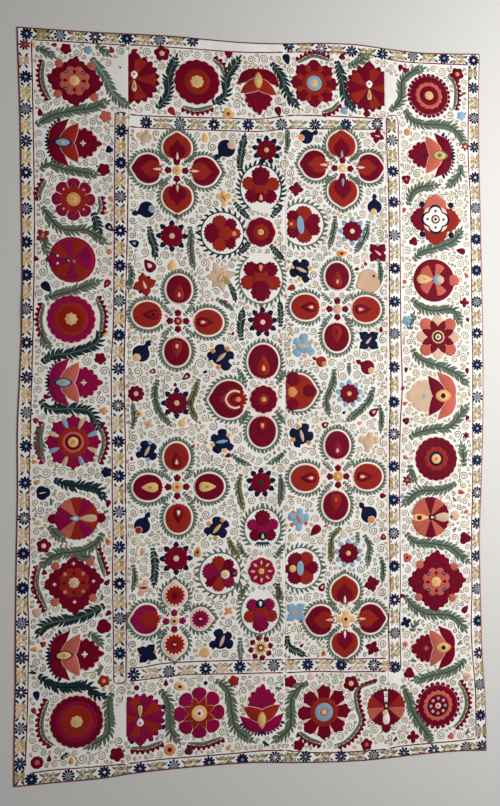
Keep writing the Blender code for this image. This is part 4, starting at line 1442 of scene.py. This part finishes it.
def small_shape(kind, x, y, reach, colour, eye):
    """One of the small filling motifs between the border's stems."""
    turn = chance.uniform(0, 360)
    if kind == "five":
        shape_flower(x, y, reach * 1.08, colour, 5, 0.24, turn, eye, 0.34)
        polar("green", *turned(x, y, turn + 180, reach * 1.1, 0), pointed(reach * 0.3, 3, 0.4, turn),
              steps=14)
    elif kind == "three":
        shape_flower(x, y, reach * 1.05, colour, 3, 0.34, turn, eye, 0.3)
        leaf("green", *turned(x, y, turn + 180, reach * 0.6, 0), turn + 180, reach * 0.8, reach * 0.35)
    elif kind == "star":
        shape_flower(x, y, reach, colour, 6, 0.5, turn, eye, 0.3, pointed)
    elif kind == "wings":
        polar(colour, x, y, petalled(reach, 4, 0.5, turn, 0.12), steps=48)
        if eye:
            seed(eye, x, y, turn + 45, reach * 0.9, reach * 0.3, layer=2)
    elif kind == "blob":
        polar(colour, x, y, petalled(reach, 3, 0.2, turn), steps=48)
        if eye:
            slit(x, y, turn, reach * 1.1, eye, reach * 0.22)
    elif kind == "drop":
        seed(colour, x, y, turn, reach * 2.1, reach * 1.4, eye, eye_size=0.4)
    elif kind == "leaf":
        leaf(colour, *turned(x, y, turn, -reach, 0), turn, reach * 2.1, reach * 0.8, 0.25)
        leaf(colour, x, y, turn + 50, reach, reach * 0.5, -0.1)
        leaf(colour, x, y, turn - 45, reach * 0.9, reach * 0.45, 0.1)
        if eye:
            slit(x, y, turn, reach, eye, reach * 0.22)
    else:
        rings(x, y, (colour, scalloped(reach, 9, 0.06)))
        if eye:
            polar(eye, x, y, reach * 0.42, layer=2, steps=16)


def border():
    left_flowers()
    top_flowers()
    bottom_flowers()
    right_flowers()
    for row in BORDER_VINES:
        vine(**row)
    for row in WREATHS:
        x, y = row["points"][len(row["points"]) // 2]
        centre = min(BORDER_CENTRES, key=lambda place: math.hypot(place[0] - x, place[1] - y))
        bud_wreath(row["points"], centre, row["bud"])
    for row in BORDER_SMALL:
        small_shape(**row)


# Tendrils in what ground is left

BARE = ((-502, -450, 1046, 1176), (462, 502, 1046, 1172), (-497, -459, -1122, -1040))


def room_left():
    """How far each free place on the grid is from the nearest stitching, in millimetres."""
    far = np.where(busy, 0.0, 40.0)
    reach = int(SPIRAL_REACH * 1.5 / GRID_STEP) + 1
    nearest = far.copy()
    for shift in range(1, reach + 1):
        for side in (-1, 1):
            moved = np.roll(far, side * shift, axis=0)
            nearest = np.minimum(nearest, np.where(moved == 0, shift * GRID_STEP, 40.0))
    square = nearest ** 2
    best = square.copy()
    for shift in range(1, reach + 1):
        for side in (-1, 1):
            best = np.minimum(best, np.roll(square, side * shift, axis=1) + (shift * GRID_STEP) ** 2)
    return np.sqrt(best)


def tendrils():
    """Fills the free ground with coils, the roomiest first, each tail near the next coil."""
    for left, right, low, high in BARE:
        rows = (GRID_Y > low) & (GRID_Y < high)
        columns = (GRID_X > left) & (GRID_X < right)
        busy[np.ix_(rows, columns)] = True
    room = room_left()
    order = np.argsort(-(room + np.random.default_rng(5).uniform(0, 5, room.shape)).ravel())
    placed = []
    for least, most in ((11.5, SPIRAL_REACH), (SPIRAL_LEAST, 10.0)):
        for place in order:
            row, column = divmod(int(place), room.shape[1])
            if room[row, column] < least + SPIRAL_MARGIN:
                continue
            x, y = GRID_X[column], GRID_Y[row]
            reach = min(room[row, column] - SPIRAL_MARGIN, chance.uniform(least + 1.0, most))
            rows, columns = grid_window(x, y, 38)
            apart = np.hypot(GRID_X[columns][None, :] - x, GRID_Y[rows][:, None] - y)
            room[rows, columns] = np.minimum(room[rows, columns], np.maximum(apart - reach - 0.4, 0))
            placed.append((x, y, reach))
    spots = np.array(placed)
    for number, (x, y, reach) in enumerate(placed):
        apart = np.hypot(spots[:, 0] - x, spots[:, 1] - y) - spots[:, 2]
        apart[number] = 1e6
        near = int(np.argmin(apart))
        heading = math.degrees(math.atan2(spots[near, 1] - y, spots[near, 0] - x))
        side = 1 if chance.random() < 0.5 else -1
        hue = "tan" if chance.random() < 0.75 else "olive"
        scroll(x, y, reach, heading - side * 60, 0.7 + reach / 14.0, hue, side=side, tail=reach * 0.8)


def whip_stitches():
    """Pale stitches across each seam."""
    for seam in SEAMS:
        for y in np.arange(-LENGTH / 2 / MM + 16, LENGTH / 2 / MM - 20, 6.5):
            x = float(seam_place(seam, np.array(y * MM))) / MM
            strip("beige", [(x - 1.8, y - 1.2), (x + 1.8, y + 1.2)], 0.5, rise=0.25, solid=False)


def embroider():
    guard_borders()
    field()
    border()
    tendrils()
    whip_stitches()


# Finishes

def screen_to_light(colour):
    """A screen colour as linear light."""
    return tuple(c / 12.92 if c <= 0.04045 else ((c + 0.055) / 1.055) ** 2.4 for c in colour)


def new_group(name, inputs, outputs):
    group = bpy.data.node_groups.new(name, "ShaderNodeTree")
    for socket, kind, value in inputs:
        made = group.interface.new_socket(name=socket, in_out="INPUT", socket_type=kind)
        if value is not None:
            made.default_value = value
    for socket, kind in outputs:
        group.interface.new_socket(name=socket, in_out="OUTPUT", socket_type=kind)
    return group, group.nodes.new("NodeGroupInput"), group.nodes.new("NodeGroupOutput")


class Wiring:
    """Adds nodes to a tree and links them in one line each."""

    def __init__(self, tree):
        self.tree = tree

    def node(self, kind, values=None, **settings):
        made = self.tree.nodes.new(kind)
        for key, value in settings.items():
            setattr(made, key, value)
        for key, value in (values or {}).items():
            if isinstance(value, bpy.types.NodeSocket):
                self.tree.links.new(value, made.inputs[key])
            else:
                made.inputs[key].default_value = value
        return made

    def maths(self, operation, first, second=None, third=None):
        values = {0: first}
        if second is not None:
            values[1] = second
        if third is not None:
            values[2] = third
        return self.node("ShaderNodeMath", values, operation=operation).outputs[0]

    def link(self, source, target):
        self.tree.links.new(source, target)


def laid_silk_group():
    """Laid and couched silk: fine parallel threads, slanting couching stitches with painted shade, streaks
    of dye.
    """
    inputs = (("Runs", "NodeSocketVector", None), ("Colour", "NodeSocketColor", None),
              ("Shade", "NodeSocketFloat", 0.0), ("Variation", "NodeSocketFloat", 0.12),
              ("Thread", "NodeSocketFloat", 0.0009), ("Couching", "NodeSocketFloat", 0.0042))
    outputs = (("Colour", "NodeSocketColor"), ("Roughness", "NodeSocketFloat"),
               ("Height", "NodeSocketFloat"))
    group, start, end = new_group("laid silk", inputs, outputs)
    wire = Wiring(group)
    parts = wire.node("ShaderNodeSeparateXYZ", {0: start.outputs["Runs"]})
    along, across = parts.outputs[0], parts.outputs[1]
    wander = wire.node("ShaderNodeTexNoise",
                       {"Vector": start.outputs["Runs"], "Scale": 140.0, "Detail": 1.0})
    bent = wire.maths("MULTIPLY_ADD", wander.outputs["Fac"], 0.0007, across)
    turns = wire.maths("DIVIDE", bent, start.outputs["Thread"])
    ridge = wire.maths("ABSOLUTE", wire.maths("SINE", wire.maths("MULTIPLY", turns, math.pi)))
    slant = wire.maths("MULTIPLY_ADD", across, 0.8, along)
    stitch = wire.maths("SINE",
                        wire.maths("MULTIPLY", wire.maths("DIVIDE", slant, start.outputs["Couching"]),
                                   math.tau))
    tie = wire.node("ShaderNodeMapRange", {"Value": stitch, "From Min": 0.72, "From Max": 1.0}).outputs[0]
    height = wire.maths("SUBTRACT", ridge, wire.maths("MULTIPLY", tie, 0.75))
    stretched = wire.node("ShaderNodeCombineXYZ", {0: wire.maths("MULTIPLY", along, 22.0),
                                                   1: wire.maths("MULTIPLY", across, 420.0)})
    streak = wire.node("ShaderNodeTexNoise", {"Vector": stretched.outputs[0], "Scale": 1.0, "Detail": 3.0})
    broad = wire.node("ShaderNodeTexNoise", {"Vector": start.outputs["Runs"], "Scale": 38.0, "Detail": 2.0})
    mixed = wire.maths("ADD", wire.maths("SUBTRACT", streak.outputs["Fac"], 0.5),
                       wire.maths("MULTIPLY", wire.maths("SUBTRACT", broad.outputs["Fac"], 0.5), 0.9))
    swing = wire.maths("MULTIPLY_ADD", mixed, 2.4, wire.maths("MULTIPLY", start.outputs["Shade"], 0.75))
    # Painted shade: the colour is darkened along the couching stitches, where the bump cuts its grooves.
    swing = wire.maths("SUBTRACT", swing, wire.maths("MULTIPLY", tie, 0.5))
    swing = wire.maths("MULTIPLY_ADD", swing, start.outputs["Variation"], 1.0)
    shaded = wire.node("ShaderNodeVectorMath", {0: start.outputs["Colour"]}, operation="SCALE")
    wire.link(swing, shaded.inputs["Scale"])
    rough = wire.node("ShaderNodeMapRange", {"Value": streak.outputs["Fac"], "To Min": 0.46, "To Max": 0.7})
    wire.link(shaded.outputs[0], end.inputs["Colour"])
    wire.link(rough.outputs[0], end.inputs["Roughness"])
    wire.link(height, end.inputs["Height"])
    return group


def plain_weave_group():
    """Hand-loomed cotton: uneven crossing threads with painted shade between them, slubs, and soft stains.
    """
    inputs = (("Place", "NodeSocketVector", None), ("Colour", "NodeSocketColor", None),
              ("Stain", "NodeSocketColor", None), ("Thread", "NodeSocketFloat", 0.0008),
              ("Stained", "NodeSocketFloat", 0.5))
    outputs = (("Colour", "NodeSocketColor"), ("Roughness", "NodeSocketFloat"),
               ("Height", "NodeSocketFloat"))
    group, start, end = new_group("plain weave", inputs, outputs)
    wire = Wiring(group)
    parts = wire.node("ShaderNodeSeparateXYZ", {0: start.outputs["Place"]})
    wander = wire.node("ShaderNodeTexNoise",
                       {"Vector": start.outputs["Place"], "Scale": 45.0, "Detail": 2.0})
    ridges = []
    for axis in (0, 1):
        bent = wire.maths("MULTIPLY_ADD", wander.outputs["Fac"], 0.0022, parts.outputs[axis])
        turns = wire.maths("MULTIPLY", wire.maths("DIVIDE", bent, start.outputs["Thread"]), math.pi)
        ridges.append(wire.maths("ABSOLUTE", wire.maths("SINE", turns)))
    weave = wire.maths("MAXIMUM", ridges[0], ridges[1])
    long_x = wire.node("ShaderNodeCombineXYZ", {0: wire.maths("MULTIPLY", parts.outputs[0], 900.0),
                                                1: wire.maths("MULTIPLY", parts.outputs[1], 14.0)})
    long_y = wire.node("ShaderNodeCombineXYZ", {0: wire.maths("MULTIPLY", parts.outputs[0], 14.0),
                                                1: wire.maths("MULTIPLY", parts.outputs[1], 900.0)})
    slubs = [wire.node("ShaderNodeTexNoise",
                       {"Vector": v.outputs[0], "Scale": 1.0, "Detail": 2.0}).outputs["Fac"]
             for v in (long_x, long_y)]
    slub = wire.maths("MULTIPLY", wire.maths("ADD", slubs[0], slubs[1]), 0.5)
    cloud = wire.node("ShaderNodeTexNoise", {"Vector": start.outputs["Place"], "Scale": 5.5, "Detail": 5.0,
                                             "Roughness": 0.62})
    patch = wire.node("ShaderNodeMapRange",
                      {"Value": cloud.outputs["Fac"], "From Min": 0.42, "From Max": 0.78})
    soiled = wire.maths("MULTIPLY", patch.outputs[0], start.outputs["Stained"])
    toned = wire.node("ShaderNodeMix", {0: soiled, 6: start.outputs["Colour"], 7: start.outputs["Stain"]},
                      data_type="RGBA")
    light = wire.maths("MULTIPLY_ADD", slub, 0.22, 0.80)
    # Painted shade: lighter on the crossing threads' crowns, darker in the hollows between them.
    light = wire.maths("MULTIPLY_ADD", weave, 0.10, light)
    shaded = wire.node("ShaderNodeVectorMath", {0: toned.outputs[2]}, operation="SCALE")
    wire.link(light, shaded.inputs["Scale"])
    rough = wire.node("ShaderNodeMapRange", {"Value": slub, "To Min": 0.78, "To Max": 0.97})
    wire.link(shaded.outputs[0], end.inputs["Colour"])
    wire.link(rough.outputs[0], end.inputs["Roughness"])
    wire.link(wire.maths("ADD", weave, wire.maths("MULTIPLY", slub, 0.8)), end.inputs["Height"])
    return group


def cloth_material(name, group, values, bump, distance, sheen):
    """A Principled cloth whose colour, roughness and height come from a group."""
    material = bpy.data.materials.new(name)
    material.use_nodes = True
    wire = Wiring(material.node_tree)
    shader = material.node_tree.nodes["Principled BSDF"]
    shader.inputs["Sheen Weight"].default_value = sheen
    shader.inputs["Sheen Roughness"].default_value = 0.4
    shader.inputs["Specular IOR Level"].default_value = 0.07
    weave = wire.node("ShaderNodeGroup", values, node_tree=group)
    raised = wire.node("ShaderNodeBump", {"Strength": bump, "Distance": distance,
                                          "Height": weave.outputs["Height"]})
    wire.link(weave.outputs["Colour"], shader.inputs["Base Color"])
    wire.link(weave.outputs["Roughness"], shader.inputs["Roughness"])
    wire.link(raised.outputs[0], shader.inputs["Normal"])
    return material, wire, weave


def silk_material(name, colour, group):
    material, wire, weave = cloth_material("silk " + name, group, {"Colour": (*screen_to_light(colour), 1)},
                                           0.6, 0.00025, 0.02)
    runs = wire.node("ShaderNodeUVMap", uv_map="runs")
    shade = wire.node("ShaderNodeAttribute", attribute_name="shade")
    wire.link(runs.outputs[0], weave.inputs["Runs"])
    wire.link(shade.outputs["Fac"], weave.inputs["Shade"])
    return material


def woven_material(name, colour, stain, group, stained):
    material, wire, weave = cloth_material(name, group, {"Colour": (*screen_to_light(colour), 1),
                                                         "Stain": (*screen_to_light(stain), 1),
                                                         "Stained": stained}, 0.5, 0.0003, 0.05)
    place = wire.node("ShaderNodeTexCoord")
    wire.link(place.outputs["Object"], weave.inputs["Place"])
    return material


# Cotton and edging

def only_select(piece):
    bpy.ops.object.select_all(action="DESELECT")
    piece.select_set(True)
    bpy.context.view_layer.objects.active = piece


def gridded(name, across, along):
    """A grid added as by hand, with a row of points for each station."""
    bpy.ops.object.select_all(action="DESELECT")
    bpy.ops.mesh.primitive_grid_add(x_subdivisions=len(across) - 1, y_subdivisions=len(along) - 1, size=1)
    piece = bpy.context.object
    piece.name = piece.data.name = name
    order = np.empty(len(piece.data.vertices) * 3)
    piece.data.vertices.foreach_get("co", order)
    order = order.reshape(-1, 3)
    column = np.rint((order[:, 0] + 0.5) * (len(across) - 1)).astype(int)
    row = np.rint((order[:, 1] + 0.5) * (len(along) - 1)).astype(int)
    return piece, across[column], along[row]


def set_points(piece, points):
    piece.data.vertices.foreach_set("co", np.ascontiguousarray(points, float).ravel())
    piece.data.update()


def thicken(piece, thickness):
    """Gives the sheet its thickness downwards, and applies it."""
    only_select(piece)
    wall = piece.modifiers.new("thickness", "SOLIDIFY")
    wall.thickness = thickness
    wall.offset = -1
    wall.use_even_offset = False
    bpy.ops.object.modifier_apply(modifier=wall.name)
    piece.data.shade_smooth()
    piece.data.set_sharp_from_angle(angle=math.radians(50))


def stations(width, step):
    """Even shares with close ones at both ends, where the hem turns under."""
    close = np.array([0.0, 0.0012, HEM_TURN, 0.005, 0.009]) / width
    middle = np.linspace(close[-1], 1 - close[-1], max(2, int(width / step)) + 1)
    return np.concatenate([close[:-1], middle, (1 - close[:-1])[::-1]])


def edging_room():
    return EDGING_WIDTH + PIECE_GAP


def panel_sides(number):
    """The left and right limits of a loom width, as functions of the place along the cloth."""
    half_gap = PIECE_GAP / 2

    def start(y):
        return left_side(y) + edging_room() if number == 0 else seam_place(SEAMS[number - 1], y) + half_gap

    def end(y):
        return right_side(y) - edging_room() if number == len(SEAMS) else seam_place(SEAMS[number],
                                                                                     y) - half_gap
    return start, end


def make_panel(number, name, material):
    start, end = panel_sides(number)
    width = float(end(np.array(0.0)) - start(np.array(0.0)))
    piece, across, along = gridded("cotton_" + name, stations(width, COTTON_STEP),
                                   stations(LENGTH, COTTON_STEP))
    guess_y = (along - 0.5) * LENGTH
    guess_x = blend(start(guess_y), end(guess_y), across)
    y = blend(bottom_end(guess_x) + edging_room(), top_end(guess_x) - edging_room(), along)
    x = blend(start(y), end(y), across)
    hem = np.minimum(np.minimum(across, 1 - across) * width, np.minimum(along, 1 - along) * LENGTH)
    roll = HEM_ROLL * np.clip(1 - hem / HEM_TURN, 0, 1) ** 2
    set_points(piece, np.stack([x, y, cloth_top(x, y) - roll], axis=1))
    thicken(piece, COTTON_THICKNESS - HEM_ROLL)
    hand_over(piece, material, name)
    return piece, (width, LENGTH - 2 * edging_room())


def make_edging(name, line, inward, material):
    """The woven strip along one edge: a crowned band with a corded outer rim."""
    along = np.linspace(0, 1, len(line))
    piece, across, share = gridded("woven_" + name, np.linspace(0, 1, 7), along)
    number = np.rint(share * (len(line) - 1)).astype(int)
    centre, way = line[number], inward[number]
    offset = (across * EDGING_WIDTH)[:, None] * way
    plan = centre + offset
    crown = 0.0006 * np.sin(np.pi * across) + 0.00015 * (1 + np.cos(number * 2.1)) * (across < 0.2)
    height = lift(plan[:, 0], plan[:, 1]) + EDGING_THICKNESS + crown
    set_points(piece, np.column_stack([plan, height]))
    only_select(piece)
    bpy.ops.object.mode_set(mode="EDIT")
    bpy.ops.mesh.select_all(action="SELECT")
    bpy.ops.mesh.normals_make_consistent(inside=False)
    bpy.ops.object.mode_set(mode="OBJECT")
    if piece.data.polygons[0].normal.z < 0:
        piece.data.flip_normals()
    thicken(piece, EDGING_THICKNESS)
    hand_over(piece, material, name)
    return piece


def hand_over(piece, material, node=None):
    """Gives a finished piece its material, hangs it from what it rides on, and hides the part that it stands
    for.
    """
    piece.data.materials.append(material)
    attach(piece, "root")
    if node:
        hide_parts(node)


def edge_lines():
    """The outer line of each edging and the way into the cloth from it, as rows of points."""
    room = edging_room()
    left_y = np.linspace(bottom_end(-CORNER_X), top_end(-CORNER_X), SIDE_STATIONS)
    right_y = np.linspace(bottom_end(CORNER_X), top_end(CORNER_X), SIDE_STATIONS)
    top_x = np.linspace(left_side(CORNER_Y) + room, right_side(CORNER_Y) - room, END_STATIONS)
    bottom_x = np.linspace(left_side(-CORNER_Y) + room, right_side(-CORNER_Y) - room, END_STATIONS)
    side, end = np.ones((SIDE_STATIONS, 1)), np.ones((END_STATIONS, 1))
    return {
        "edging_left": (np.column_stack([left_side(left_y), left_y]), side * (1, 0)),
        "edging_right": (np.column_stack([right_side(right_y), right_y]), side * (-1, 0)),
        "edging_top": (np.column_stack([top_x, top_end(top_x)]), end * (0, -1)),
        "edging_bottom": (np.column_stack([bottom_x, bottom_end(bottom_x)]), end * (0, 1)),
    }


# Embroidery pieces: each thread colour is laid on the cloth's folds as one mesh

def trimmed(plan, faces):
    """Cuts the stitching off at the edging, and says which faces and points are left."""
    room = edging_room()
    plan[:, 0] = np.clip(plan[:, 0], left_side(plan[:, 1]) + room, right_side(plan[:, 1]) - room)
    plan[:, 1] = np.clip(plan[:, 1], bottom_end(plan[:, 0]) + room, top_end(plan[:, 0]) - room)
    corners = plan[faces]
    first, second = corners[:, 2] - corners[:, 0], corners[:, 3] - corners[:, 1]
    left = first[:, 0] * second[:, 1] - first[:, 1] * second[:, 0] > LEAST_FACE
    used, back = np.unique(faces[left], return_inverse=True)
    return left, used, back.reshape(-1, 4)


def make_thread_piece(name, thread, material):
    """Lays all patches of one colour on the cloth and joins them."""
    plan = np.vstack(thread.plans) * MM
    left, used, faces = trimmed(plan, np.vstack(thread.faces))
    plan = plan[used]
    height = cloth_top(plan[:, 0], plan[:, 1]) + np.concatenate(thread.rises)[used] * MM
    mesh = bpy.data.meshes.new(name)
    mesh.vertices.add(len(plan))
    mesh.vertices.foreach_set("co", np.column_stack([plan, height]).ravel())
    mesh.loops.add(faces.size)
    mesh.loops.foreach_set("vertex_index", faces.ravel().astype(np.int32))
    mesh.polygons.add(len(faces))
    mesh.polygons.foreach_set("loop_start", np.arange(0, faces.size, 4, dtype=np.int32))
    mesh.update(calc_edges=True)
    layer = mesh.uv_layers.new(name="runs")
    layer.data.foreach_set("uv", np.vstack(thread.maps).reshape(-1, 8)[left].ravel())
    shade = mesh.attributes.new("shade", "FLOAT", "POINT")
    shade.data.foreach_set("value", np.concatenate(thread.shades)[used])
    mesh.validate()
    mesh.shade_smooth()
    piece = bpy.data.objects.new(name, mesh)
    bpy.context.collection.objects.link(piece)
    hand_over(piece, material)


def make_embroidery(group):
    for row in THREADS:
        thread = threads[row["name"]]
        if thread.count:
            material = silk_material(row["name"], row["colour"], group)
            make_thread_piece("silk_" + row["name"], thread, material)


def make_cloth():
    weave = plain_weave_group()
    cotton = woven_material("cotton ground", (0.94, 0.93, 0.92), (0.86, 0.81, 0.765), weave, 0.6)
    red = woven_material("woven edging", (0.42, 0.12, 0.16), (0.50, 0.30, 0.28), weave, 0.8)
    pink = woven_material("faded edging", (0.72, 0.55, 0.52), (0.50, 0.25, 0.26), weave, 0.8)
    for name, (line, inward) in edge_lines().items():
        make_edging(name, line, inward, red if name != "edging_right" else pink)
    for number, name in enumerate(PANELS):
        panel, flat = make_panel(number, name, cotton)


# Stage, light and camera

def add_area(name, place, aim, size, power, colour):
    light = bpy.data.lights.new(name, "AREA")
    light.energy = power
    light.size = size
    light.color = colour
    lamp = bpy.data.objects.new(name, light)
    lamp.location = place
    way = np.array(aim) - np.array(place)
    lamp.rotation_euler = (math.atan2(math.hypot(way[0], way[1]), -way[2]), 0, math.atan2(-way[0], way[1]))
    bpy.context.collection.objects.link(lamp)


def make_stage():
    bpy.ops.object.select_all(action="DESELECT")
    bpy.ops.mesh.primitive_plane_add(size=14, location=(0, 0, -0.0001))
    floor = bpy.context.object
    floor.name = "floor"
    paper = bpy.data.materials.new("pale floor")
    paper.use_nodes = True
    paper.node_tree.nodes["Principled BSDF"].inputs["Base Color"].default_value = (0.62, 0.61, 0.59, 1)
    paper.node_tree.nodes["Principled BSDF"].inputs["Roughness"].default_value = 0.85
    floor.data.materials.append(paper)
    world = bpy.data.worlds.new("soft daylight")
    world.use_nodes = True
    world.node_tree.nodes["Background"].inputs["Color"].default_value = (0.92, 0.95, 1.0, 1)
    world.node_tree.nodes["Background"].inputs["Strength"].default_value = 0.17
    bpy.context.scene.world = world
    bpy.context.scene.view_settings.view_transform = "Standard"
    add_area("window light", (2.5, 0.6, 2.0), (0.2, -0.1, 0), 2.0, 136, (1.0, 0.985, 0.955))
    add_area("fill light", (-2.2, -2.0, 3.2), (0, 0, 0), 3.0, 8, (0.94, 0.97, 1.0))


def make_camera():
    """The photo's view: from above, a little to the left, turned back towards the middle."""
    camera = bpy.data.cameras.new("camera")
    camera.lens = 28
    camera.sensor_width = 36
    view = bpy.data.objects.new("camera", camera)
    view.location = (-0.282, -0.059, 2.173)
    view.rotation_euler = (math.radians(1.25), math.radians(-6.53), math.radians(-0.28))
    bpy.context.collection.objects.link(view)
    bpy.context.scene.camera = view


bpy.ops.object.select_all(action="DESELECT")
make_stage()
make_camera()
make_cloth()
embroider()
make_embroidery(laid_silk_group())
